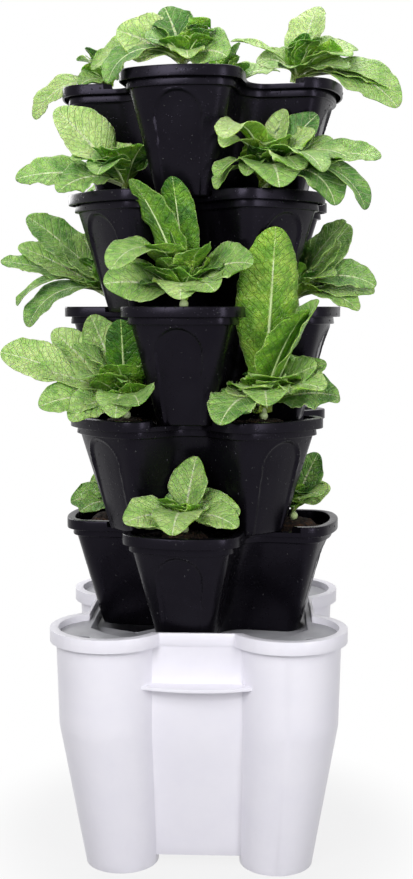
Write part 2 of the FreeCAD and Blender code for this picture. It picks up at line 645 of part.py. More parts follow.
def tier(number):
    """One pot with its medium and four plants, in its place on the tower."""
    odd = number % 2 == 1
    turn = size("turnOdd") if odd else size("turnEven")
    lift = dishFloor + potPitch * (number - 1)
    place = Placement(Vector(0, 0, lift), Rotation(Vector(0, 0, 1), turn))
    addShape("pot_%d" % number, potShape, place)
    addShape("growing_medium_%d" % number, mediumShape, place)
    for index, side in enumerate(ODD_SIDES if odd else EVEN_SIDES):
        name = "lettuce_%d_%s" % (number, side)
        bearing = turn + 90 * (index - 1)
        shape = lettuce(bearing, plantLeaves(name, number, bearing))
        addShape(name, shape, Placement(Vector(0, 0, lift), Rotation()))


# Pump, riser and drip head

def alongX(radius, low, high, height):
    return Part.makeCylinder(radius, high - low, Vector(low, 0, height), Vector(1, 0, 0))


def pumpWellEnd():
    """End of the rotor's well from the middle plane."""
    start = size("impellerGap") + size("impellerWidth") - size("voluteDepth") / 2
    return start + size("rotorLength") + 2 * size("rotorGap")


def pumpHousing():
    """Motor housing, impeller chamber, outlet and base plate in one moulding."""
    axis = size("pumpAxisHeight")
    half = size("pumpWidth") / 2
    front = -size("voluteDepth") / 2
    back = size("voluteDepth") / 2
    end = back + size("pumpLength")
    motor = Part.makeBox(size("pumpLength"), 2 * half, 2 * half, Vector(back, -half, axis - half))
    lengthwise = [edge for edge in motor.Edges if abs(edge.tangentAt(0).x) > 0.9]
    motor = motor.makeFillet(size("pumpCorner"), lengthwise)
    chamber = alongX(size("voluteRadius"), front, back, axis)
    outlet = cylinder(size("outletOuter") / 2, axis, size("outletTop"))
    plateLow = axis - half - size("pumpBase")
    plateHalf = half + size("pumpBase")
    plate = Part.makeBox(end - front, 2 * plateHalf, size("pumpBase"), Vector(front, -plateHalf, plateLow))
    saddle = Part.makeBox(back - front, half, half, Vector(front, -half / 2, plateLow))
    solid = motor.multiFuse([chamber, outlet, plate, saddle])
    hollows = [
        alongX(size("chamberRadius"), front, back - size("coverThick"), axis),
        alongX(size("rotorRadius") + size("rotorGap"), front, pumpWellEnd(), axis),
        cylinder(size("outletBore") / 2, axis, size("outletTop")),
        alongX(size("shaftRadius"), front, pumpWellEnd() + size("shaftSeat"), axis),
    ]
    return solid.cut(hollows)


def pumpImpeller():
    """Open impeller with its magnet rotor, running on the fixed shaft."""
    axis = size("pumpAxisHeight")
    front = size("impellerGap") - size("voluteDepth") / 2
    back = front + size("impellerWidth")
    disc = alongX(size("impellerRadius"), back - size("impellerDisc"), back, axis)
    rotor = alongX(size("rotorRadius"), back, back + size("rotorLength"), axis)
    hub = alongX(2.5 * size("shaftRadius"), front, back, axis)
    thick = size("bladeThick")
    length = size("impellerWidth") - size("impellerDisc") / 2
    blade = Part.makeBox(length, thick, size("impellerRadius"), Vector(front, -thick / 2, axis))
    count = int(size("bladeCount"))
    blades = []
    for index in range(count):
        turned = blade.copy()
        turned.rotate(Vector(0, 0, axis), Vector(1, 0, 0), 360 / count * index)
        blades.append(turned)
    rim = alongX(size("impellerRadius"), front, back, axis)
    vanes = blades[0].multiFuse(blades[1:]).common(rim)
    bore = alongX(size("shaftRadius") + size("runGap"), front, back + size("rotorLength"), axis)
    return disc.multiFuse([rotor, hub, vanes]).cut(bore)


def pumpStrainer():
    """Slotted cage in front of the pump's intake."""
    axis = size("pumpAxisHeight")
    front = -size("voluteDepth") / 2 - size("coverThick")
    depth = size("strainerDepth")
    skin = size("strainerSkin")
    half = size("voluteRadius")
    cage = alongX(half, front - depth, front, axis)
    cage = cage.cut(alongX(half - skin, front - depth + skin, front, axis))
    count = int(size("strainerSlots"))
    side = half - 3 * skin
    pitch = 2 * side / count
    slots = []
    for index in range(count):
        start = -side + pitch * (index + 0.25)
        slots.append(Part.makeBox(depth / 2, pitch / 2, half, Vector(front - depth, start, axis - half / 2)))
    return cage.cut(slots)


def pumpFeet():
    """Four suction cups under the base plate, as one group."""
    top = size("pumpAxisHeight") - size("pumpWidth") / 2 - size("pumpBase")
    front = -size("voluteDepth") / 2
    end = size("voluteDepth") / 2 + size("pumpLength")
    inset = size("cupRadius") + size("cupInset")
    y = size("pumpWidth") / 2 + size("pumpBase") - inset
    cups = []
    for x in (front + inset, end - inset):
        for side in (-y, y):
            cups.append(Part.makeCone(
                size("cupRadius"), size("cupRadius") / 2, top - tubFloorTop, Vector(x, side, tubFloorTop)))
    return Part.makeCompound(cups)


def addPump():
    addShape("pump_housing", pumpHousing())
    addShape("pump_impeller", pumpImpeller())
    addShape("pump_strainer", pumpStrainer())
    addShape("pump_feet", pumpFeet())
    front = "-sizes.voluteDepth / 2"
    cover = {"x": front + " - sizes.coverThick", "along": "x"}
    tube(
        "pump_cover", "sizes.voluteRadius", "sizes.intakeRadius", "sizes.coverThick", "sizes.pumpAxisHeight",
        **cover)
    shaft = primitive(
        "Cylinder", "pump_shaft", x=front, z="sizes.pumpAxisHeight", along="x", Radius="sizes.shaftRadius",
        Height="sizes.impellerGap + sizes.impellerWidth + sizes.rotorLength"
        " + 2 * sizes.rotorGap + sizes.shaftSeat")
    parts.append(shaft)
    gland = primitive(
        "Cone", "pump_cable_gland", x="sizes.voluteDepth / 2 + sizes.pumpLength", z="sizes.pumpAxisHeight",
        along="x", Radius1="sizes.glandRadius", Radius2="sizes.glandTip", Height="sizes.glandLength")
    parts.append(gland)


# Heights as expressions, so that the riser and the head follow the tower
FIRST_FOOT = "sizes.tubHeight - sizes.lidDrop - sizes.dishDrop"
JOINT_LOW = FIRST_FOOT + " + sizes.jointLift"
JOINT_HIGH = JOINT_LOW + " + 2 * (sizes.potHeight - sizes.potNest)"
RISER_TOP = FIRST_FOOT + " + 5 * sizes.potHeight - 4 * sizes.potNest + sizes.riserProud"


def addRiser():
    """Three lengths of pipe with two couplings, from the pump's outlet to the drip head."""
    lowEnd = "sizes.outletTop - sizes.couplingLength / 2"
    lengths = [
        ("riser_lower", lowEnd, JOINT_LOW), ("riser_middle", JOINT_LOW, JOINT_HIGH),
        ("riser_upper", JOINT_HIGH, RISER_TOP)]
    for label, low, high in lengths:
        tube(label, "sizes.riserOuter / 2", "sizes.riserBore / 2", "(%s) - (%s)" % (high, low), low)
    inner, outer = "sizes.riserOuter / 2 + sizes.slipGap", "sizes.couplingOuter / 2"
    for label, joint in (("coupling_lower", JOINT_LOW), ("coupling_upper", JOINT_HIGH)):
        turnedBody(label, joint + " - sizes.couplingLength / 2", [
            (inner, "0"), (outer, "0"), (outer, "sizes.couplingLength"), (inner, "sizes.couplingLength")])


def dripNozzles(bore):
    """Four radial nozzles through the head's wall, solid or with their bores."""
    level = riserTop + (size("headHeight") - size("headCap") - size("headSocket")) / 2
    start = size("riserBore") / 2
    end = size("headRadius") + size("nozzleReach")
    nozzles = []
    for index in range(4):
        nozzle = alongX(size("nozzleRadius"), start, end, level)
        if bore:
            nozzle = nozzle.cut(alongX(size("nozzleBore"), start, end, level))
        nozzle.rotate(Vector(0, 0, 0), Vector(0, 0, 1), 90 * index + size("nozzleTurn"))
        nozzles.append(nozzle)
    return Part.makeCompound(nozzles)


def addDripHead():
    """A turned head on the riser's end, with four nozzles pressed through its wall."""
    socket = "sizes.riserOuter / 2 + sizes.slipGap"
    mouth = "sizes.riserBore / 2"
    inner = "sizes.headHeight - sizes.headCap"
    turned = turnedBody("drip_head_turned", RISER_TOP + " - sizes.headSocket", [
        (socket, "0"), ("sizes.headRadius", "0"), ("sizes.headRadius", "sizes.headHeight - sizes.headBevel"),
        ("sizes.headCrown", "sizes.headHeight"), ("0", "sizes.headHeight"), ("0", inner),
        (mouth, inner), (mouth, "sizes.headSocket"), (socket, "sizes.headSocket")], keep=False)
    holes = doc.addObject("Part::Feature", "drip_head_holes")
    holes.Shape = dripNozzles(False)
    combine("Cut", "drip_head", turned, holes)
    addShape("drip_nozzles", dripNozzles(True))


addShape("reservoir", reservoir())
addShape("reservoir_lid", reservoirLid())
addPump()
addRiser()
potShape = pot()
mediumShape = growingMedium()
for number in range(1, 6):
    tier(number)
addDripHead()
doc.recompute()

# Every object must be sound before anything is written
for thing in doc.Objects:
    if "Invalid" in thing.State or "Error" in thing.State:
        raise RuntimeError("%s failed" % thing.Label)
for part in parts:
    if part.Shape.isNull() or not part.Shape.isValid() or part.Shape.Volume <= 0:
        raise RuntimeError("%s has no sound shape" % part.Label)

os.makedirs("parts", exist_ok=True)
for part in parts:
    part.Shape.exportStep(os.path.join("parts", part.Label + ".step"))
    print("%-28s %9.1f cm3  solids %d" % (part.Label, part.Shape.Volume / 1000, len(part.Shape.Solids)))
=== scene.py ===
import json
import math
import random

import bmesh
import bpy
from mathutils import Matrix, Vector, noise


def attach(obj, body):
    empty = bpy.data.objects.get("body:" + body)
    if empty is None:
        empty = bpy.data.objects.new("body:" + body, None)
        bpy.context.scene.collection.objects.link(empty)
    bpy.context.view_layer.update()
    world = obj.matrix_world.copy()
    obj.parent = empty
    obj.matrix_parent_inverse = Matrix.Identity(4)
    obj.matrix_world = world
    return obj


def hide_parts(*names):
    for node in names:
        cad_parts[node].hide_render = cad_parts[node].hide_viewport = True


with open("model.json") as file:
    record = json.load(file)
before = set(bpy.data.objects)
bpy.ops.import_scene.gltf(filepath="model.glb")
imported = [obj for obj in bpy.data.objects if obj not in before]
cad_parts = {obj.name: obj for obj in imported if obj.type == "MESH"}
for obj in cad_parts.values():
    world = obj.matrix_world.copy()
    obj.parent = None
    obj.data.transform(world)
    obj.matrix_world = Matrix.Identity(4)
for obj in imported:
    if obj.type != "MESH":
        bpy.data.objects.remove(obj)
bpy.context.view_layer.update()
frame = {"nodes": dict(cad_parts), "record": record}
nodes = frame["nodes"]
print("frame loaded:", len(nodes), "nodes")

mm = 0.001
tiers = range(1, 6)
towerValues = {
    "dishFloor": 353,  # height of the lid's dish, where the first pot stands
    "pitch": 169.5,  # from one pot to the next
    "turnOdd": -8,  # degrees
    "turnEven": 41,
}


def tierLift(number):
    return towerValues["dishFloor"] + towerValues["pitch"] * (number - 1)


def tierTurn(number):
    return towerValues["turnOdd"] if number % 2 else towerValues["turnEven"]


def smooth(low, high, value):
    share = min(max((value - low) / (high - low), 0.0), 1.0)
    return share * share * (3 - 2 * share)


def mix(a, b, share):
    return a + (b - a) * share


# sRGB hex to linear
def colour(hexText):
    channels = [int(hexText[i:i + 2], 16) / 255 for i in (1, 3, 5)]
    return [c / 12.92 if c <= 0.04045 else ((c + 0.055) / 1.055) ** 2.4 for c in channels] + [1.0]


def addNode(tree, kind, settings=None, links=None):
    node = tree.nodes.new("ShaderNode" + kind)
    for name, value in (settings or {}).items():
        if isinstance(name, str) and hasattr(node, name):
            setattr(node, name, value)
        else:
            node.inputs[name].default_value = value
    for name, source in (links or {}).items():
        tree.links.new(source, node.inputs[name])
    return node


def newMaterial(name, settings):
    material = bpy.data.materials.new(name)
    material.use_nodes = True
    tree = material.node_tree
    shader = tree.nodes["Principled BSDF"]
    for socket, value in settings.items():
        shader.inputs[socket].default_value = value
    return material, tree, shader


def objectPlace(tree):
    return addNode(tree, "TexCoord").outputs["Object"]


# The result of one Math node, whose inputs are sockets or plain numbers
def calculate(tree, operation, *inputs, clamp=False):
    node = addNode(tree, "Math", {"operation": operation, "use_clamp": clamp})
    for socket, value in zip(node.inputs, inputs):
        if isinstance(value, bpy.types.NodeSocket):
            tree.links.new(value, socket)
        else:
            socket.default_value = value
    return node.outputs[0]


# Carries a value from one span to another, in a straight line or by a smooth step
def mapRange(tree, value, source, target, step="LINEAR"):
    settings = {"interpolation_type": step, "From Min": source[0], "From Max": source[1],
                "To Min": target[0], "To Max": target[1]}
    return addNode(tree, "MapRange", settings, {"Value": value}).outputs["Result"]


def noiseField(tree, place, scale, detail=2.0, roughness=0.5):
    settings = {"Scale": scale, "Detail": detail, "Roughness": roughness}
    return addNode(tree, "TexNoise", settings, {"Vector": place}).outputs["Fac"]


def bumpFrom(tree, shader, height, strength, distance):
    bump = addNode(tree, "Bump", {"Strength": strength, "Distance": distance}, {"Height": height})
    tree.links.new(bump.outputs[0], shader.inputs["Normal"])


def shade(tree, source, stops):
    ramp = addNode(tree, "ValToRGB", None, {"Fac": source})
    band = ramp.color_ramp
    while len(band.elements) < len(stops):
        band.elements.new(0.5)
    for element, (position, value) in zip(band.elements, stops):
        element.position = position
        element.color = colour(value)
    return ramp.outputs["Color"]


# Rays that see the white surroundings: from the camera, by reflection and through clear pieces
def cameraGlossyTransmission(tree):
    path = addNode(tree, "LightPath")
    direct = calculate(tree, "MAXIMUM", path.outputs["Is Camera Ray"], path.outputs["Is Glossy Ray"])
    return calculate(tree, "MAXIMUM", direct, path.outputs["Is Transmission Ray"])


# ABS with a satin finish from the mould: a soft broad highlight and a very fine grain
def mouldedAbs(name, light, dark, roughness):
    material, tree, shader = newMaterial(name, {"IOR": 1.53})
    place = objectPlace(tree)
    cloud = noiseField(tree, place, 14.0, 5.0, 0.6)
    tree.links.new(shade(tree, cloud, [(0.35, dark), (0.6, light)]), shader.inputs["Base Color"])
    spread = mapRange(tree, cloud, (0, 1), (roughness - 0.02, roughness + 0.03))
    tree.links.new(spread, shader.inputs["Roughness"])
    grain = noiseField(tree, place, 900.0)  # 1.1 mm, drawn coarser than real
    bumpFrom(tree, shader, grain, 0.12, 0.0004)
    return material


# Wet black polypropylene: nearly black, satin, with droplets a few millimetres across that catch the light
def wetPolypropylene(name):
    material, tree, shader = newMaterial(name, {
        "IOR": 1.49, "Specular IOR Level": 0.14, "Specular Tint": colour("#e6dcff")})
    place = objectPlace(tree)
    cloud = noiseField(tree, place, 22.0, 4.0)
    tree.links.new(shade(tree, cloud, [(0.35, "#060508"), (0.7, "#0c0b0f")]), shader.inputs["Base Color"])
    cells = addNode(tree, "TexVoronoi", {"Scale": 230.0}, {"Vector": place})  # a cell of 4.3 mm
    drop = mapRange(tree, cells.outputs["Distance"], (0.14, 0.32), (1, 0))
    lot = addNode(tree, "SeparateColor", None, {"Color": cells.outputs["Color"]})
    chosen = calculate(tree, "GREATER_THAN", lot.outputs[0], 0.72)
    bead = calculate(tree, "MULTIPLY", drop, chosen)
    grain = noiseField(tree, place, 1400.0, 1.0)  # 0.7 mm moulding grain
    bumpFrom(tree, shader, calculate(tree, "MULTIPLY_ADD", grain, 0.12, bead), 0.35, 0.0007)
    dry = mapRange(tree, cloud, (0, 1), (0.2, 0.36))
    wet = calculate(tree, "MULTIPLY_ADD", bead, -0.3, dry, clamp=True)
    tree.links.new(wet, shader.inputs["Roughness"])
    return material


# Water beads on black plastic: the black shows through, so only the mirror-like skin is seen
def waterBead():
    material, tree, shader = newMaterial("water bead on black plastic", {"IOR": 1.33, "Roughness": 0.03})
    cloud = noiseField(tree, objectPlace(tree), 60.0)
    tree.links.new(shade(tree, cloud, [(0.3, "#0d0c11"), (0.7, "#1b1922")]), shader.inputs["Base Color"])
    return material


# Damp growing medium: crumbs of bark and coir, matt, nearly black between them
def dampMedium():
    material, tree, shader = newMaterial("damp coir and bark", {"Roughness": 0.93, "IOR": 1.4})
    place = objectPlace(tree)
    crumbs = addNode(tree, "TexVoronoi", {"Scale": 170.0}, {"Vector": place})  # 6 mm crumbs
    fine = noiseField(tree, place, 600.0, 6.0, 0.75)
    pick = addNode(tree, "SeparateColor", None, {"Color": crumbs.outputs["Color"]})
    blend = calculate(tree, "MULTIPLY", pick.outputs[0], fine)
    tint = shade(tree, blend, [(0.05, "#120b08"), (0.3, "#2b1c14"), (0.5, "#4a3323"), (0.75, "#7a5c42")])
    tree.links.new(tint, shader.inputs["Base Color"])
    height = calculate(tree, "MULTIPLY_ADD", crumbs.outputs["Distance"], -1.2, fine)
    bumpFrom(tree, shader, height, 0.9, 0.003)
    return material


# Lettuce leaf: thin wet tissue, pale ribs, darker quilting between the veins, light passing through it.
# The leaf map's U runs across the leaf and V from its base to its tip.
def leafTissue(name, light, dark, vein, veinShare, gloss):
    material, tree, shader = newMaterial(name, {
        "IOR": 1.42, "Subsurface Weight": 0.28, "Subsurface Scale": 0.004,
        "Subsurface Radius": (0.6, 1.0, 0.2)})
    place = objectPlace(tree)
    leafMap = addNode(tree, "UVMap", {"uv_map": "leafMap"})
    axes = addNode(tree, "SeparateXYZ", None, {0: leafMap.outputs[0]})
    along = axes.outputs[1]
    off = calculate(tree, "ABSOLUTE", calculate(tree, "SUBTRACT", axes.outputs[0], 0.5))
    count = addNode(tree, "Attribute", {"attribute_name": "leafVein"})
    wave = calculate(tree, "PINGPONG", count.outputs["Fac"], 0.5)
    sideVein = mapRange(tree, wave, (0, 0.13), (1, 0), "SMOOTHSTEP")
    cells = addNode(tree, "TexVoronoi", {"feature": "DISTANCE_TO_EDGE", "Scale": 130.0}, {"Vector": place})
    netVein = mapRange(tree, cells.outputs["Distance"], (0, 0.09), (0.55, 0))
    ribWidth = mapRange(tree, along, (0, 1), (0.07, 0.01))
    rib = mapRange(tree, calculate(tree, "DIVIDE", off, ribWidth), (0.55, 1), (1, 0), "SMOOTHSTEP")
    edge = mapRange(tree, off, (0.475, 0.5), (0, 0.7))
    veins = calculate(tree, "MAXIMUM", sideVein, netVein)
    faint = calculate(tree, "MULTIPLY", veins, veinShare)
    pale = calculate(tree, "MAXIMUM", faint, calculate(tree, "MAXIMUM", edge, rib))
    # Each leaf's own shade, mottled, and paler towards its base
    own = addNode(tree, "Attribute", {"attribute_name": "leafShade"})
    mottle = noiseField(tree, place, 48.0, 4.0, 0.6)
    depth = calculate(tree, "ADD", own.outputs["Fac"], mapRange(tree, mottle, (0.3, 0.7), (-0.28, 0.28)))
    base = mapRange(tree, along, (0, 0.35), (0.45, 0))
    depth = calculate(tree, "SUBTRACT", depth, base, clamp=True)
    tissue = shade(tree, depth, [(0.0, light[0]), (0.35, light[1]), (0.7, dark[0]), (1.0, dark[1])])
    mixed = addNode(tree, "Mix", {"data_type": "RGBA"})
    tree.links.new(pale, mixed.inputs[0])
    tree.links.new(tissue, mixed.inputs[6])
    mixed.inputs[7].default_value = colour(vein)
    tree.links.new(mixed.outputs[2], shader.inputs["Base Color"])
    wet = mapRange(tree, mottle, (0.35, 0.65), (gloss, gloss + 0.22))
    tree.links.new(wet, shader.inputs["Roughness"])
    blister = noiseField(tree, place, 150.0, 3.0)
    bumpFrom(tree, shader, calculate(tree, "MULTIPLY_ADD", veins, -0.8, blister), 0.9, 0.0028)
    return material


# Small parts of one plain stuff, barely clouded, with a fine grain
def plainFinish(name, dark, light, roughness, metal=0.0, grainScale=700.0):
    material, tree, shader = newMaterial(name, {"Metallic": metal})
    place = objectPlace(tree)
    cloud = noiseField(tree, place, 40.0, 3.0)
    tree.links.new(shade(tree, cloud, [(0.3, dark), (0.7, light)]), shader.inputs["Base Color"])
    spread = mapRange(tree, cloud, (0, 1), (roughness - 0.05, roughness + 0.08))
    tree.links.new(spread, shader.inputs["Roughness"])
    bumpFrom(tree, shader, noiseField(tree, place, grainScale), 0.1, 0.0003)
    return material


finishes = {
    "whiteAbs": mouldedAbs("satin white ABS", "#e5e3eb", "#e2e0e9", 0.34),
    "greyAbs": mouldedAbs("satin grey ABS", "#a6a6ab", "#98989e", 0.42),
    "blackPolypropylene": wetPolypropylene("wet black polypropylene"),
    "waterBead": waterBead(),
    "medium": dampMedium(),
    "leafTop": leafTissue("lettuce leaf, upper side", ("#abd052", "#72a52e"), ("#356a18", "#163d0a"),
                          "#b4d27a", 0.16, 0.22),
    "leafUnder": leafTissue("lettuce leaf, under side", ("#bdd988", "#93bb60"), ("#5c8c3c", "#3a6a28"),
                            "#cfe0ac", 0.36, 0.42),
    "leafRib": plainFinish("lettuce rib", "#c4dc92", "#dbe9bd", 0.35, 0.0, 300.0),
    "pump": plainFinish("moulded black ABS", "#17171a", "#1f1f23", 0.45),
    "impeller": plainFinish("white acetal", "#d6d6d0", "#deded8", 0.35),
    "steel": plainFinish("ground stainless steel", "#b9b9b6", "#c4c4c1", 0.28, 1.0),
    "rubber": plainFinish("matt black rubber", "#141414", "#1a1a1a", 0.8),
    "pipe": plainFinish("black polyethylene pipe", "#1c1c1f", "#242428", 0.4),
    "dripPlastic": plainFinish("moulded black polypropylene", "#1a1c22", "#23262e", 0.34),
}
slotFinish = {
    "white_plastic": "whiteAbs", "grey_plastic": "greyAbs", "black_plastic": "blackPolypropylene",
    "growing_medium": "medium", "lettuce_leaf": "leafTop", "pump_plastic": "pump",
    "impeller_plastic": "impeller", "stainless_steel": "steel", "black_rubber": "rubber",
    "pipe_plastic": "pipe", "drip_plastic": "dripPlastic"}
nodeSlot = {part["node"]: part["material_slot"] for part in frame["record"]["subparts"]}
for name, node in nodes.items():
    node.data.materials.clear()
    node.data.materials.append(finishes[slotFinish[nodeSlot[name]]])
print("finishes made:", len(finishes))


def addPiece(bm, name, materials, body, replaced):
    mesh = bpy.data.meshes.new(name)
    bm.to_mesh(mesh)
    bm.free()
    for key in materials:
        mesh.materials.append(finishes[key])
    piece = bpy.data.objects.new(name, mesh)
    bpy.context.scene.collection.objects.link(piece)
    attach(piece, body)
    if replaced:
        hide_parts(*replaced)
    return piece


# A moulded piece with its CAD shape and edges rounded as a mould rounds them, the radius in millimetres
def roundedCopy(nodeName, name, key, body, radius):
    bm = bmesh.new()
    bm.from_mesh(nodes[nodeName].data)
    bmesh.ops.remove_doubles(bm, verts=bm.verts, dist=0.00001)
    piece = addPiece(bm, name, [key], body, [nodeName])
    piece.data.shade_smooth()
    edge = piece.modifiers.new("mould radius", "BEVEL")
    edge.width = radius * mm
    edge.segments = 3
    edge.limit_method = "ANGLE"
    edge.angle_limit = math.radians(28)
    edge.harden_normals = True


roundedCopy("reservoir", "reservoir_shell", "whiteAbs", "reservoir_base", 1.2)
roundedCopy("reservoir_lid", "reservoir_lid_shell", "greyAbs", "lid", 0.8)
roundedCopy("drip_head", "drip_head_shell", "dripPlastic", "drip_top", 0.6)
print("reservoir, lid and drip head made")


# Rows of points joined one to the next; every row has as many points as the first
def skinRows(bm, rows):
    ring = bmesh.ops.create_circle(bm, segments=len(rows[0]), radius=1)["verts"]
    for vert, point in zip(ring, rows[0]):
        vert.co = point
    edges = list({edge for vert in ring for edge in vert.link_edges})
    first = edges
    for points in rows[1:]:
        place = {tuple(round(v, 7) for v in vert.co): index for index, vert in enumerate(ring)}
        made = bmesh.ops.extrude_edge_only(bm, edges=edges)["geom"]
        edges = [item for item in made if isinstance(item, bmesh.types.BMEdge)]
        fresh = {item for item in made if isinstance(item, bmesh.types.BMVert)}
        ring = [None] * len(points)
        for vert in fresh:
            ring[place[tuple(round(v, 7) for v in vert.co)]] = vert
        edges = [edge for edge in edges if fresh.issuperset(edge.verts)]
        for vert, point in zip(ring, points):
            vert.co = point
    return first, edges


# In millimetres; pairs are at the foot and at the top of the wall, and the heights are from the pot's foot
potValues = {
    "reach": (163, 205.5), "half": (41.5, 75), "corner": (18, 26), "neck": (40, 45), "crown": (120, 170),
    "height": 178, "wall": 3, "floor": 3, "inside": -6.2,
    "bandLow": 151, "band": 5.5, "rimLow": 162, "rim": 15.5,
    "archHalf": (28, 36), "archTop": 147, "archDepth": (1.6, 4.2), "archBead": 0.9, "archDish": 0.8,
    "seat": 169.3, "seatHalf": 44, "drain": 3.5, "drainAt": (127, 75),
    "hubOuter": 21, "hubBore": 18, "hubTop": 169.2, "spigotOuter": 17.7, "spigotBore": 15, "spigotTop": 176,
    "spigotLow": 166,
}


def arcRow(centre, radius, start, end, count):
    return [(centre[0] + radius * math.cos(mix(start, end, i / count)),
             centre[1] + radius * math.sin(mix(start, end, i / count))) for i in range(count)]


def cornerPlace(reach, half, corner, crown):
    return reach - crown + math.sqrt((crown - corner) ** 2 - (half - corner) ** 2)


# One lobe of the pot's outline, along +X, with the neck to the next. The seats are the places on its
# straight side and on the next lobe's where the seat of the pot above ends.
def lobeRow(reach, half, corner, neck, crown, seats):
    flat = half - corner
    crownX, cornerX = reach - crown, cornerPlace(reach, half, corner, crown)
    swing = math.atan2(flat, cornerX - crownX)
    neckX = half + neck
    quarter = math.pi / 2
    slit = 0.4  # half the step between the seat's floor and the wall beside it
    own, following = [[mix(cornerX, seat + slit, i / 3) for i in range(4)]
                      + [mix(seat - slit, neckX, i / 6) for i in range(7)] for seat in seats]
    return (arcRow((cornerX, -flat), corner, -quarter, -swing, 7)
            + arcRow((crownX, 0), crown, -swing, swing, 40)
            + arcRow((cornerX, flat), corner, swing, quarter, 7) + [(x, half) for x in own[:-1]]
            + arcRow((neckX, neckX), neck, 3 * quarter, 2 * quarter, 12)
            + [(half, y) for y in following[:0:-1]])


# The bearing of the next pot's lobe from this pot's own
def seatBearing(number):
    return math.radians((tierTurn(number + 1) - tierTurn(number)) % 90)


def wallRow(number, share, grow):
    low, high = [[potValues[key][i] for key in ("reach", "half", "corner", "neck", "crown")] for i in (0, 1)]
    bearing = seatBearing(number)
    side, seatHalf = high[1] + grow, potValues["seatHalf"]
    atHigh = [(side * math.cos(bearing) + seatHalf) / math.sin(bearing),
              (side * math.sin(bearing) + seatHalf) / math.cos(bearing)]
    cornerX = cornerPlace(high[0] + grow, side, high[2] + grow, high[4] + grow)
    shares = [(cornerX - seat) / (cornerX - high[1] - high[3]) for seat in atHigh]
    rows = []
    for reach, half, corner, neck, crown in (low, high):
        start = cornerPlace(reach + grow, half + grow, corner + grow, crown + grow)
        seats = [mix(start, half + neck, where) for where in shares]
        rows.append(lobeRow(reach + grow, half + grow, corner + grow, neck - grow, crown + grow, seats))
    return [(mix(a[0], b[0], share), mix(a[1], b[1], share)) for a, b in zip(*rows)]


# How far the arch panel stands out of (+) or into (-) the wall
def archRelief(y, z):
    low, high = potValues["archHalf"]
    spring = potValues["archTop"] - high
    inside = high - math.hypot(y, z - spring) if z > spring else mix(low, high, max(z, 0) / spring) - abs(y)
    depth = mix(*potValues["archDepth"], smooth(30, potValues["archTop"], z))
    bead = potValues["archBead"] * math.exp(-((inside + 1.2) / 1.3) ** 2)
    return bead - depth * smooth(0, 3.4, inside) - potValues["archDish"] * smooth(2, 26, inside)


# All round a pot at one height. Relief above 0 shows the arches, and below 0 it is the underside of the
# folded rim, which lies one wall lower at the seats.
def potRow(number, z, grow, relief=0.0):
    turn, lift, bearing, wall = tierTurn(number), tierLift(number), seatBearing(number), potValues["wall"]
    quarterRow = wallRow(number, min(z / potValues["bandLow"], 1), grow)
    points = []
    for quarter in range(4):
        angle = math.radians(turn + 90 * quarter)
        for x, y in quarterRow:
            height = z
            off = abs(y * math.cos(bearing) - x * math.sin(bearing))
            if z > potValues["seat"] - wall and y > 0 and off < potValues["seatHalf"]:
                # The next pot's lobe sits here
                height = min(z, potValues["seat"] - (wall if relief < 0 else 0))
            if relief > 0 and x > potValues["half"][1]:
                x += relief * archRelief(y, z)
            points.append(Vector((x * math.cos(angle) - y * math.sin(angle),
                                  x * math.sin(angle) + y * math.cos(angle), height + lift)) * mm)
    return points


def circleRow(radius, z, count, centre=(0, 0)):
    return [Vector((centre[0] + radius * math.cos(2 * math.pi * i / count),
                    centre[1] + radius * math.sin(2 * math.pi * i / count), z)) * mm for i in range(count)]


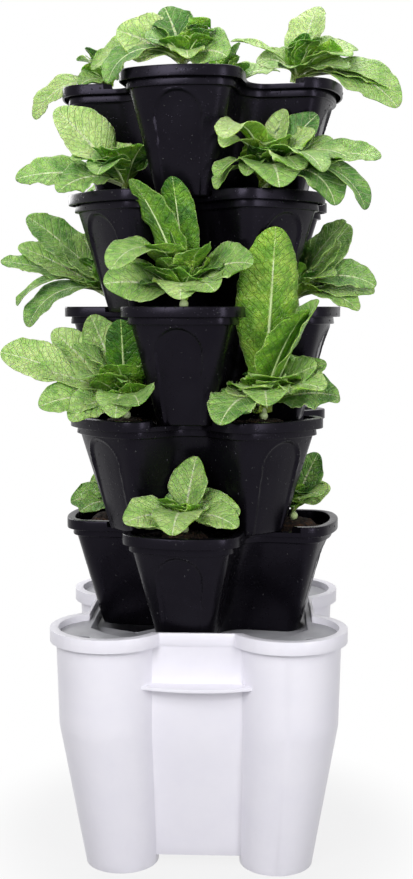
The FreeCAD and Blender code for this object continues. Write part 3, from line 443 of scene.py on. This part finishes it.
# Each level is a height, how far it lies outside the wall, and its relief: up the outside, over the band and
# the folded rim, and down the inside
def potShell(number):
    turn, lift = tierTurn(number), tierLift(number)
    values = potValues
    heights = [2.5] + [8 * i for i in range(1, 14)] + [106 + 1.7 * i for i in range(26)] + [150.2]
    wall, floor, band, rim = values["wall"], values["floor"], values["band"], values["rim"]
    foot, low, top = values["bandLow"], values["rimLow"], values["height"]
    levels = [(0, -2.0, 1), (0.8, -0.6, 1)] + [(z, 0, 1) for z in heights]
    levels += [(foot, 0.3, 0), (foot, band - 1, 0), (foot + 0.5, band, 0), (foot + 1.4, band + 0.4, 0)]
    levels += [(low, band - 0.8, 0), (top - wall, band - 0.8, -1), (top - wall, rim - wall, -1),
               (low, rim - wall, 0), (low, rim - 1, 0), (low + 0.5, rim - 0.2, 0), (low + 1.4, rim, 0),
               (top - 2, rim, 0), (top - 0.7, rim - 0.4, 0), (top - 0.1, rim - 1.3, 0), (top, rim - 2.6, 0)]
    levels += [(top, band - 1.6, 0), (top - 0.5, band - 2.6, 0), (top - 1.8, band - wall, 0),
               (foot + wall, band - wall, 0), (foot + wall, -wall, 0), (foot - wall, values["inside"], 0),
               (floor, values["inside"], 0)]
    bm = bmesh.new()
    outside, inside = skinRows(bm, [potRow(number, z, grow, relief) for z, grow, relief in levels])
    hubTop, spigotTop, spigotLow = values["hubTop"], values["spigotTop"], values["spigotLow"]
    hub = [(values["hubOuter"], floor), (values["hubOuter"], hubTop), (values["spigotOuter"], hubTop),
           (values["spigotOuter"], spigotTop - 1), (values["spigotOuter"] - 1, spigotTop),
           (values["spigotBore"], spigotTop), (values["spigotBore"], spigotLow),
           (values["hubBore"], spigotLow), (values["hubBore"], 0)]
    hubHigh, hubLow = skinRows(bm, [circleRow(radius, z + lift, 48) for radius, z in hub])
    floorLoops, ceilingLoops = list(outside) + hubLow, list(inside) + hubHigh
    for quarter in range(4):
        angle = math.radians(turn + 90 * quarter)
        for distance in values["drainAt"]:
            spot = (distance * math.cos(angle), distance * math.sin(angle))
            under, over = skinRows(bm, [circleRow(values["drain"], z + lift, 14, spot) for z in (0, floor)])
            floorLoops += under
            ceilingLoops += over
    bmesh.ops.triangle_fill(bm, edges=floorLoops, normal=(0, 0, 1))
    bmesh.ops.triangle_fill(bm, edges=ceilingLoops, normal=(0, 0, 1))
    bmesh.ops.recalc_face_normals(bm, faces=bm.faces)
    piece = addPiece(bm, "pot_%d_shell" % number, ["blackPolypropylene"], "tier_%d" % number,
                     ["pot_%d" % number])
    piece.data.shade_smooth()
    piece.data.set_sharp_from_angle(angle=math.radians(40))
    return piece


# Water beads: small flat domes strewn over the outside of a pot, with their radii in millimetres
beadValues = {
    "count": 300, "radius": (0.7, 1.9), "flatness": 0.5, "leastFace": 2e-6, "outward": 0.2, "foot": 4}


def facesOutward(face):
    level = Vector((face.center.x, face.center.y, 0))
    return face.normal.dot(level) > beadValues["outward"] * level.length


# A face's corners in an order that is the same in every run, which the order of a mesh's faces isn't
def sortedCorners(shell, face):
    return sorted(tuple(shell.data.vertices[index].co) for index in face.vertices)


def waterBeads(number, shell):
    pick = random.Random(100 + number)
    low = (tierLift(number) + beadValues["foot"]) * mm
    outer = [face for face in shell.data.polygons
             if face.area > beadValues["leastFace"] and face.center.z > low and facesOutward(face)]
    outer.sort(key=lambda face: sortedCorners(shell, face))
    ball = bmesh.new()
    bmesh.ops.create_uvsphere(ball, u_segments=8, v_segments=6, radius=mm)
    dome = bpy.data.meshes.new("bead")
    ball.to_mesh(dome)
    ball.free()
    bm = bmesh.new()
    for chosen in pick.choices(outer, weights=[face.area for face in outer], k=beadValues["count"]):
        radius = pick.uniform(*beadValues["radius"])
        corner = Vector(pick.choice(sortedCorners(shell, chosen)))
        spot = chosen.center.lerp(corner, pick.random() * 0.8)
        place = Matrix.Translation(spot) @ chosen.normal.to_track_quat("Z", "Y").to_matrix().to_4x4()
        place = place @ Matrix.Diagonal((radius, radius, radius * beadValues["flatness"], 1))
        dome.transform(place)
        bm.from_mesh(dome)
        dome.transform(place.inverted())
    bpy.data.meshes.remove(dome)
    piece = addPiece(bm, "pot_%d_water_beads" % number, ["waterBead"], "tier_%d" % number,
                     [])
    piece.data.shade_smooth()


# Growing medium: a level top with a mound round each plant
mediumValues = {
    "level": 156, "low": 150, "inset": 3.4, "reach": 2.1, "mound": 20, "moundFoot": 50, "moundTop": 24,
    "plantRadius": 150, "rings": 46, "innermost": 0.14, "crumb": 2.2,
}


def mediumTop(number):
    turn, lift = tierTurn(number), tierLift(number)
    values = mediumValues
    ledge = potValues["bandLow"] + 3.2
    rows = [potRow(number, values["low"], -values["inset"]), potRow(number, ledge - 0.6, -values["inset"]),
            potRow(number, ledge, values["reach"])]
    outline = [point - Vector((0, 0, point.z)) for point in rows[-1]]
    plants = [Vector((math.cos(math.radians(turn + 90 * q)), math.sin(math.radians(turn + 90 * q)), 0))
              * values["plantRadius"] * mm for q in range(4)]
    for step in range(values["rings"]):
        share = 1 - (1 - values["innermost"]) * step / (values["rings"] - 1)
        row = []
        for point in outline:
            spot = point * share
            away = min((spot - plant).length for plant in plants) / mm
            slope = smooth(values["moundTop"], values["moundFoot"], away)
            height = values["level"] + values["mound"] * (1 - slope)
            crumb = noise.noise(spot * 160 + Vector((0, 0, number * 7))) + 0.7 * noise.noise(spot * 420)
            height += values["crumb"] * crumb * min(step, 3) / 3
            row.append(spot + Vector((0, 0, (height + lift) * mm)))
        rows.append(row)
    bm = bmesh.new()
    outer, inner = skinRows(bm, rows)
    bmesh.ops.holes_fill(bm, edges=list(outer) + list(inner))
    bmesh.ops.recalc_face_normals(bm, faces=bm.faces)
    piece = addPiece(bm, "growing_medium_%d_crumbs" % number, ["medium"], "tier_%d" % number,
                     ["growing_medium_%d" % number])
    piece.data.shade_smooth()


for number in tiers:
    shell = potShell(number)
    waterBeads(number, shell)
    mediumTop(number)
print("pots and growing medium made")


# What each kind of leaf does: how far its sides turn up (cup), the height of the waves along its edge and
# of the swellings between its veins in millimetres, its base as a share of its width, where it widens,
# and how much narrower it is at its tip
leafKinds = {
    "spoon": {"cup": 0.20, "frill": 0.8, "quilt": 0.5, "stem": 0.15, "widen": (0.04, 0.55), "point": 0.25},
    "round": {"cup": 0.08, "frill": 1.2, "quilt": 0.7, "stem": 0.18, "widen": (0.04, 0.5), "point": 0.2},
    "crinkled": {"cup": 0.12, "frill": 2.2, "quilt": 1.5, "stem": 0.22, "widen": (0.04, 0.5), "point": 0.3},
    "long": {"cup": 0.24, "frill": 1.6, "quilt": 1.1, "stem": 0.32, "widen": (0.06, 0.55), "point": 0.3},
    "frilly": {"cup": 0.06, "frill": 4.4, "quilt": 1.5, "stem": 0.25, "widen": (0.05, 0.5), "point": 0.2},
    "oar": {"cup": 0.16, "frill": 1.0, "quilt": 0.6, "stem": 0.14, "widen": (0.3, 0.75), "point": 0.22},
}

# Every leaf: heading, rise, length, width, droop, roll, shade from 0 (light) to 1 (dark), kind
leafLists = {
    "lettuce_1_front": [
        (30, 82, 105, 66, 6, -20, 0.35, "round"), (188, 24, 95, 46, 40, 50, 0.3, "crinkled"),
        (215, 33, 105, 58, 60, 40, 0.3, "crinkled"), (-98, 52, 100, 64, 112, 0, 0.25, "round"),
        (-12, 30, 90, 54, 40, -50, 0.3, "crinkled"), (10, 45, 75, 42, 30, -40, 0.45, "spoon"),
        (130, 60, 55, 36, 40, 40, 0.6, "spoon"), (-32, 26, 98, 48, 60, -30, 0.35, "crinkled")],
    "lettuce_1_right": [
        (10, 72, 100, 48, 15, -60, 0.7, "crinkled"), (-50, 60, 80, 56, 70, -20, 0.3, "round"),
        (-8, 50, 70, 40, 40, -60, 0.2, "spoon"), (120, 70, 60, 36, 40, 30, 0.5, "spoon")],
    "lettuce_1_left": [
        (175, 29, 75, 50, 50, 50, 0.55, "crinkled"), (130, 55, 72, 36, 30, 40, 0.3, "spoon"),
        (215, 20, 64, 46, 60, 30, 0.6, "crinkled")],
    "lettuce_2_front_right": [
        (-70, 80, 285, 86, 6, 0, 0.3, "long"), (-29, 66, 195, 72, 8, -40, 0.35, "long"),
        (-135, 52, 85, 54, 60, 20, 0.2, "frilly"), (-110, 62, 100, 70, 75, 0, 0.3, "frilly"),
        (-75, 66, 110, 76, 70, 0, 0.3, "frilly"), (-20, 58, 110, 70, 40, -45, 0.35, "frilly"),
        (-12, 34, 120, 64, 50, -40, 0.6, "frilly"), (-118, 37, 142, 66, 90, 10, 0.5, "frilly"),
        (3, 50, 118, 52, 30, -45, 0.45, "crinkled"), (-52, 72, 175, 70, 30, -10, 0.4, "crinkled"),
        (-42, 48, 125, 64, 70, -20, 0.25, "frilly"), (-90, 50, 115, 66, 95, 0, 0.35, "frilly")],
    "lettuce_2_back_right": [
        (10, 40, 130, 44, 85, -40, 0.3, "round"), (60, 50, 120, 50, 50, 0, 0.5, "crinkled"),
        (100, 45, 110, 46, 60, 0, 0.6, "crinkled"), (40, 70, 120, 44, 30, 0, 0.4, "crinkled")],
    "lettuce_2_front_left": [
        (192, 40, 215, 64, 25, 55, 0.15, "oar"), (158, 72, 160, 60, 15, 60, 0.3, "crinkled"),
        (172, 52, 170, 56, 15, 50, 0.2, "spoon"), (-95, 66, 120, 60, 55, 0, 0.4, "crinkled"),
        (-75, 32, 150, 60, 50, -25, 0.45, "round"), (-95, 52, 122, 58, 112, 0, 0.3, "round"),
        (205, 26, 145, 56, 45, 50, 0.35, "crinkled"), (195, 38, 155, 36, 30, 50, 0.25, "spoon"),
        (222, 28, 110, 50, 80, 40, 0.3, "crinkled"), (-100, 77, 138, 50, 10, 0, 0.65, "round"),
        (-125, 62, 120, 56, 80, 0, 0.35, "round"), (-150, 70, 125, 54, 50, 30, 0.45, "crinkled")],
    "lettuce_3_front": [
        (-130, 75, 200, 54, 30, 0, 0.45, "crinkled"), (-98, 82, 182, 48, 12, 0, 0.55, "crinkled"),
        (-30, 56, 140, 66, 65, -50, 0.45, "crinkled"), (225, 88, 190, 54, 145, 20, 0.35, "round"),
        (200, 28, 125, 64, 40, 60, 0.4, "round"), (-92, 60, 85, 74, 130, 0, 0.1, "frilly"),
        (-60, 42, 100, 56, 80, -30, 0.25, "round"), (-142, 74, 140, 34, 15, 20, 0.85, "spoon"),
        (-115, 66, 120, 60, 60, 0, 0.3, "round"), (-70, 66, 110, 56, 60, -20, 0.35, "crinkled")],
    "lettuce_3_left": [
        (178, 57, 195, 58, 25, 55, 0.5, "crinkled"), (165, 62, 150, 40, 20, 40, 0.95, "crinkled"),
        (188, 40, 172, 50, 25, 50, 0.35, "crinkled"), (186, 32, 190, 34, 25, 45, 0.5, "crinkled"),
        (192, 48, 180, 26, 105, 20, 0.5, "spoon"), (200, 34, 165, 46, 110, 30, 0.6, "round"),
        (165, 66, 112, 62, 10, 60, 0.5, "crinkled"), (185, 55, 120, 44, 20, 50, 0.5, "crinkled")],
    "lettuce_3_right": [
        (15, 58, 150, 56, 10, -50, 0.5, "crinkled"), (-5, 60, 115, 42, 12, -50, 0.3, "spoon"),
        (-8, 30, 130, 56, 50, -40, 0.4, "crinkled"), (-25, 24, 115, 44, 70, -30, 0.4, "crinkled"),
        (40, 62, 120, 56, 15, -30, 0.75, "crinkled"), (-45, 50, 90, 50, 60, -20, 0.35, "crinkled"),
        (-18, 68, 140, 54, 30, -45, 0.45, "crinkled"), (-12, 44, 140, 56, 75, -40, 0.55, "crinkled")],
    "lettuce_4_front_left": [
        (195, 55, 155, 76, 10, 65, 0.05, "spoon"), (150, 75, 78, 62, 30, 60, 0.15, "round"),
        (20, 70, 72, 42, 20, -50, 0.65, "spoon"), (190, 22, 168, 52, 36, 50, 0.5, "crinkled"),
        (214, 26, 118, 48, 70, 40, 0.45, "frilly"), (-112, 58, 105, 52, 110, 0, 0.45, "round"),
        (235, 50, 80, 46, 60, 30, 0.5, "crinkled"), (165, 50, 70, 46, 50, 40, 0.6, "crinkled"),
        (-145, 56, 100, 50, 80, 20, 0.4, "round"), (-95, 66, 90, 50, 80, 0, 0.35, "spoon")],
    "lettuce_4_front_right": [
        (-114, 88, 205, 42, 135, 10, 0.1, "spoon"), (-122, 86, 150, 36, 125, 15, 0.15, "spoon"),
        (-80, 65, 125, 84, 140, 0, 0.4, "round"), (-35, 47, 155, 72, 125, -20, 0.65, "crinkled"),
        (-10, 40, 185, 52, 55, -40, 0.45, "crinkled"), (-22, 45, 195, 46, 120, -20, 0.7, "spoon"),
        (30, 78, 118, 36, 10, -30, 0.2, "spoon"), (-128, 55, 130, 34, 110, 0, 0.35, "spoon"),
        (-140, 48, 115, 32, 115, 0, 0.35, "spoon"), (-105, 54, 100, 32, 108, 0, 0.35, "spoon"),
        (0, 61, 125, 54, 20, -60, 0.9, "round"), (-20, 60, 105, 60, 40, -40, 0.2, "frilly"),
        (-60, 70, 90, 54, 60, -20, 0.25, "frilly"), (-48, 54, 150, 66, 110, 0, 0.45, "round"),
        (-12, 52, 150, 58, 85, -30, 0.4, "crinkled"), (-66, 44, 120, 56, 90, 0, 0.3, "frilly")],
    "lettuce_5_front": [
        (185, 40, 110, 78, 25, 65, 0.1, "round"), (152, 78, 92, 58, 20, 50, 0.85, "frilly"),
        (-30, 40, 82, 68, 75, -50, 0.45, "round"), (172, 38, 150, 56, 80, 45, 0.3, "crinkled"),
        (200, 40, 145, 46, 115, 30, 0.65, "crinkled"), (60, 62, 95, 36, 25, 0, 0.2, "spoon"),
        (215, 50, 70, 50, 60, 40, 0.55, "round"), (-80, 30, 72, 46, 80, 0, 0.2, "crinkled")],
    "lettuce_5_left": [
        (186, 22, 148, 42, 92, 45, 0.1, "crinkled"), (175, 30, 66, 42, 60, 30, 0.35, "crinkled"),
        (110, 50, 60, 36, 40, 20, 0.4, "crinkled"), (215, 25, 60, 42, 70, 30, 0.4, "crinkled")],
    "lettuce_5_right": [
        (60, 71, 148, 58, 20, 0, 0.05, "long"), (12, 62, 88, 72, 45, -60, 0.3, "round"),
        (0, 24, 140, 58, 55, -30, 0.35, "crinkled"), (-8, 22, 172, 78, 80, -45, 0.35, "round"),
        (6, 30, 170, 56, 75, -30, 0.3, "round"), (175, 60, 125, 18, 60, 30, 0.2, "spoon"),
        (150, 56, 84, 46, 60, 50, 0.25, "crinkled"), (-25, 28, 90, 48, 50, -30, 0.4, "crinkled"),
        (-100, 30, 62, 42, 60, 0, 0.4, "crinkled"), (20, 58, 120, 60, 70, -30, 0.25, "round"),
        (-30, 50, 100, 50, 80, -20, 0.3, "round")],
}
# The plants at the back, with headings from their own bearing
rosette = [
    (-105, 78, 100, 50, 22, 0, 0.4, "crinkled"), (-66, 56, 135, 56, 60, -25, 0.3, "crinkled"),
    (-30, 42, 125, 62, 80, -15, 0.4, "round"), (8, 66, 160, 60, 40, 0, 0.25, "long"),
    (42, 42, 130, 58, 85, 15, 0.4, "crinkled"), (52, 72, 106, 46, 30, 25, 0.5, "crinkled"),
    (150, 86, 80, 38, 10, 0, 0.3, "spoon")]
# Lengths in millimetres; a leaf has a row of points for each rowLength, or rowLengthBack out of sight
plantValues = {
    "radius": 150, "root": 193.3, "leafStep": 1.3, "columns": 14, "rowLength": 4.2, "rowLengthBack": 6.5,
    "thick": 0.9, "veinPitch": 14, "waveLength": 46, "fullness": 1.16, "ribLength": 0.82, "ribRows": 12,
}
# Shares of a leaf's width or length, but for slowWave and lumpSize, which are in millimetres
leafForm = {
    "tipRound": 0.34, "fold": 0.1, "slowWave": 1.3, "fineFrill": 0.4, "lump": 0.8, "lumpSize": 9,
    "ragged": (0.014, 0.007), "sweep": 0.05,
}
# The small leaves in a plant's heart, picked at random between these bounds
heartValues = {
    "count": 12, "turn": 110, "rise": (50, 84), "least": 14, "length": (0.26, 0.44), "width": (0.1, 0.18),
    "longest": 200, "droop": (20, 80), "roll": 30, "shade": (0.2, 0.75), "lift": -4,
    "kinds": ["crinkled", "round", "frilly"],
}


class Leaf:
    def __init__(self, root, values, seed):
        self.root = root
        self.heading, self.rise, self.length, width, self.droop, self.roll, self.shadeShare, kind = values
        self.width = width * plantValues["fullness"]
        self.kind = leafKinds[kind]
        pick = random.Random(seed)
        self.phases = (pick.uniform(0, 6.28), pick.uniform(0, 6.28))
        self.sweep = pick.uniform(-leafForm["sweep"], leafForm["sweep"])
        self.drift = Vector((pick.uniform(-50, 50), pick.uniform(-50, 50), 0))
        angle = math.radians(self.heading)
        self.along = Vector((math.cos(angle), math.sin(angle), 0))
        self.across = Vector((-self.along.y, self.along.x, 0))

    # The middle line bends down at an even rate from its first rise, as it does in the CAD solid
    def line(self, v):
        bend, first = math.radians(self.droop), math.radians(self.rise)
        slope = first - bend * v
        out = self.length * (math.sin(first) - math.sin(slope)) / bend
        up = self.length * (math.cos(slope) - math.cos(first)) / bend
        level = Vector((-self.along.x * math.sin(slope), -self.along.y * math.sin(slope), math.cos(slope)))
        turn = math.radians(self.roll) * smooth(0, 0.6, v)
        across = self.across * math.cos(turn) - level * math.sin(turn)
        normal = level * math.cos(turn) + self.across * math.sin(turn)
        centre = self.root + self.along * out + Vector((0, 0, up))
        centre += across * (self.sweep * self.length * v * v)
        return centre, across, normal

    def halfWidth(self, v):
        opening = mix(self.kind["stem"], 1, smooth(*self.kind["widen"], v))
        return self.width / 2 * opening * (1 - self.kind["point"] * (max(v - 0.55, 0) / 0.45) ** 2)

    # Counts the side veins, which lean towards the tip and alternate on the two sides
    def vein(self, u, v):
        wander = noise.noise(Vector((u * 2, v * 5, self.phases[0])))
        lean = 0.55 * self.width / plantValues["veinPitch"] * abs(u)
        return v * self.length / plantValues["veinPitch"] - lean + 0.3 * wander + (0.4 if u > 0 else 0) + 20

    # u from -1 to 1 across the leaf, v from 0 to 1 along it
    def point(self, u, v):
        reach = abs(u)
        tip = (max(v - 0.5, 0) / 0.5) ** 2
        centre, across, normal = self.line(v - leafForm["tipRound"] * self.width / self.length * tip * u * u)
        half = self.halfWidth(v)
        phase = self.phases[0 if u > 0 else 1]
        turns = 2 * math.pi * v * self.length / plantValues["waveLength"]
        lift = (leafForm["fold"] * reach + self.kind["cup"] * reach ** 2) * half
        lift += self.kind["frill"] * reach ** 3 * smooth(0.15, 0.5, v) * math.sin(turns + phase)
        lift += leafForm["slowWave"] * reach * math.sin(0.7 * turns + 2 * phase)
        if self.kind["frill"] > 4:
            fine = math.sin(2.7 * turns + 3 * phase)
            lift += leafForm["fineFrill"] * self.kind["frill"] * reach ** 4 * fine
        swelling = abs(math.sin(math.pi * self.vein(u, v))) ** 0.7 - 0.6
        where = smooth(0, 0.3, reach) * smooth(0.12, 0.35, v) * (1 - 0.4 * reach)
        lift += self.kind["quilt"] * swelling * where
        grid = (Vector((u * half, v * self.length, 0)) + self.drift) / leafForm["lumpSize"]
        lift += leafForm["lump"] * self.kind["quilt"] * noise.noise(grid) * smooth(0, 0.25, reach)
        coarse, fine = leafForm["ragged"]
        ragged = 1 + coarse * math.sin(1.9 * turns + phase) + fine * math.sin(4.3 * turns + phase)
        return centre + across * (u * half * ragged) + normal * lift


def addLeaf(bm, leaf, rowLength, uvLayer, shadeLayer, veinLayer):
    rows = max(12, round(leaf.length / rowLength))
    made = bmesh.ops.create_grid(bm, x_segments=plantValues["columns"], y_segments=rows, size=1)["verts"]
    spots = {vert: (vert.co.x, (vert.co.y + 1) / 2) for vert in made}
    for vert, (u, v) in spots.items():
        vert[shadeLayer] = leaf.shadeShare
        vert[veinLayer] = leaf.vein(u, v)
        vert.co = leaf.point(u, v) * mm
    for face in {face for vert in made for face in vert.link_faces}:
        for loop in face.loops:
            u, v = spots[loop.vert]
            loop[uvLayer].uv = (u / 2 + 0.5, v)


# The pale rib, thick at the base, under the leaf's middle line
def addRib(ribs, leaf, thick):
    rows, count = [], plantValues["ribRows"]
    angles = [2 * math.pi * i / 8 for i in range(8)]
    for step in range(count + 1):
        centre, across, normal = leaf.line(plantValues["ribLength"] * step / count)
        radius = thick * (1 - 0.85 * step / count) ** 1.1
        rows.append([(centre + across * radius * 1.1 * math.cos(a)
                      + normal * radius * (0.7 * math.sin(a) - 0.6)) * mm for a in angles])
    bm = bmesh.new()
    first, last = skinRows(bm, rows)
    bmesh.ops.holes_fill(bm, edges=list(first) + list(last))
    bmesh.ops.recalc_face_normals(bm, faces=bm.faces)
    mesh = bpy.data.meshes.new("rib")
    bm.to_mesh(mesh)
    bm.free()
    ribs.from_mesh(mesh)
    bpy.data.meshes.remove(mesh)


def lettuce(number, side, bearing):
    name = "lettuce_%d_%s" % (number, side)
    angle = math.radians(bearing)
    root = Vector((plantValues["radius"] * math.cos(angle), plantValues["radius"] * math.sin(angle),
                   tierLift(number) + plantValues["root"]))
    seed = number * 1000 + round(bearing) % 360
    pick = random.Random(seed)
    leaves = leafLists.get(name)
    rowLength = plantValues["rowLength"] if leaves else plantValues["rowLengthBack"]
    if leaves is None:
        twist, stretch = 6 * (number % 3), 0.8 + 0.1 * (number % 3)
        leaves = [(bearing + turn + twist, rise, length * stretch, width * stretch, droop, roll, dark, kind)
                  for turn, rise, length, width, droop, roll, dark, kind in rosette]
    values, heart = heartValues, []
    longest = min(max(leaf[2] for leaf in leaves), values["longest"])
    for _ in range(values["count"]):
        heart.append((bearing + pick.uniform(-values["turn"], values["turn"]), pick.uniform(*values["rise"]),
                      values["least"] + longest * pick.uniform(*values["length"]),
                      values["least"] + longest * pick.uniform(*values["width"]),
                      pick.uniform(*values["droop"]), pick.uniform(-values["roll"], values["roll"]),
                      pick.uniform(*values["shade"]), pick.choice(values["kinds"])))
    sheets, ribs = bmesh.new(), bmesh.new()
    layers = [sheets.loops.layers.uv.new("leafMap"), sheets.verts.layers.float.new("leafShade"),
              sheets.verts.layers.float.new("leafVein")]
    for index, row in enumerate(leaves + heart):
        own = index < len(leaves)
        lift = plantValues["leafStep"] * (index - len(leaves) / 2) if own else values["lift"]
        leaf = Leaf(root + Vector((0, 0, lift)), row, seed + 17 * index)
        addLeaf(sheets, leaf, rowLength, *layers)
        addRib(ribs, leaf, 1.1 + 0.011 * leaf.length)
    piece = addPiece(sheets, name + "_leaves", ["leafTop", "leafUnder"], "tier_%d" % number,
                     [name])
    piece.data.shade_smooth()
    sheet = piece.modifiers.new("leaf thickness", "SOLIDIFY")
    sheet.thickness = plantValues["thick"] * mm
    sheet.offset = 0
    sheet.material_offset = 1
    crown = Matrix.Translation((root - Vector((0, 0, 12))) * mm)
    bmesh.ops.create_uvsphere(ribs, u_segments=12, v_segments=8, radius=7 * mm, matrix=crown)
    stems = addPiece(ribs, name + "_ribs", ["leafRib"], "tier_%d" % number, [])
    stems.data.shade_smooth()


oddSides = ("front", "right", "back", "left")
evenSides = ("front_right", "back_right", "back_left", "front_left")
for number in tiers:
    for index, side in enumerate(oddSides if number % 2 else evenSides):
        lettuce(number, side, tierTurn(number) + 90 * (index - 1))
print("lettuces made")


# Where the photograph was taken from, in metres and degrees
cameraValues = {"place": (0.0863, -1.993, 0.8659), "tilt": 83.97, "turn": 2.28, "lens": 50.5}
camera = bpy.data.objects.new("camera", bpy.data.cameras.new("camera"))
camera.location = cameraValues["place"]
camera.rotation_euler = (math.radians(cameraValues["tilt"]), 0, math.radians(cameraValues["turn"]))
camera.data.lens = cameraValues["lens"]
camera.data.sensor_width = 36
camera.data.sensor_fit = "AUTO"
bpy.context.scene.collection.objects.link(camera)
bpy.context.scene.camera = camera

bm = bmesh.new()
bmesh.ops.create_circle(bm, cap_ends=True, segments=96, radius=6)
floorMesh = bpy.data.meshes.new("floor")
bm.to_mesh(floorMesh)
bm.free()
floor = bpy.data.objects.new("floor", floorMesh)
bpy.context.scene.collection.objects.link(floor)

floorMaterial = bpy.data.materials.new("pale studio floor")
floorMaterial.use_nodes = True
tree = floorMaterial.node_tree
painted = tree.nodes["Principled BSDF"]
painted.inputs["Base Color"].default_value = colour("#9a9a9c")
painted.inputs["Roughness"].default_value = 0.6
glow = addNode(tree, "Emission", {"Color": (1, 1, 1, 1), "Strength": 1.0})
# The floor melts into the white backdrop away from the tower and keeps the shadow beside it
away = addNode(tree, "VectorMath", {"operation": "LENGTH"}, {0: objectPlace(tree)})
fade = mapRange(tree, away.outputs["Value"], (0.25, 0.45), (0.84, 1), "SMOOTHSTEP")
part = calculate(tree, "MULTIPLY", cameraGlossyTransmission(tree), fade)
both = addNode(tree, "MixShader", None, {0: part})
tree.links.new(painted.outputs[0], both.inputs[1])
tree.links.new(glow.outputs[0], both.inputs[2])
tree.links.new(both.outputs[0], tree.nodes["Material Output"].inputs["Surface"])
floor.data.materials.append(floorMaterial)

world = bpy.data.worlds.new("studio")
world.use_nodes = True
bpy.context.scene.world = world
tree = world.node_tree
air = tree.nodes["Background"]
air.inputs["Color"].default_value = (1, 1, 1, 1)
air.inputs["Strength"].default_value = 0.2
white = addNode(tree, "Background", {"Color": (1, 1, 1, 1), "Strength": 1.0})
both = addNode(tree, "MixShader", None, {0: cameraGlossyTransmission(tree)})
tree.links.new(air.outputs[0], both.inputs[1])
tree.links.new(white.outputs[0], both.inputs[2])
tree.links.new(both.outputs[0], tree.nodes["World Output"].inputs["Surface"])

# Soft boxes: place, where they point, width, height, watts
lamps = {
    "key": ((-1.1, -2.2, 1.9), (0, 0, 0.9), 0.9, 1.6, 45),
    "fill": ((1.5, -1.9, 1.2), (0, 0, 0.8), 0.6, 1.6, 28),
    "top": ((0.2, 0.6, 3.0), (0, 0, 1.0), 1.4, 1.4, 38),
    "back": ((-1.4, 1.6, 1.8), (0, 0, 0.9), 0.9, 1.5, 24),
    "spark": ((-0.5, -2.4, 1.7), (0, 0, 0.9), 0.16, 0.16, 8),
}
for name, (place, aim, width, height, watts) in lamps.items():
    light = bpy.data.lights.new(name, "AREA")
    light.shape = "RECTANGLE"
    light.size, light.size_y = width, height
    light.energy = watts
    lamp = bpy.data.objects.new(name, light)
    lamp.location = place
    lamp.rotation_euler = (Vector(aim) - Vector(place)).to_track_quat("-Z", "Y").to_euler()
    bpy.context.scene.collection.objects.link(lamp)
bpy.context.scene.view_settings.view_transform = "Standard"
print("camera, floor and light set")
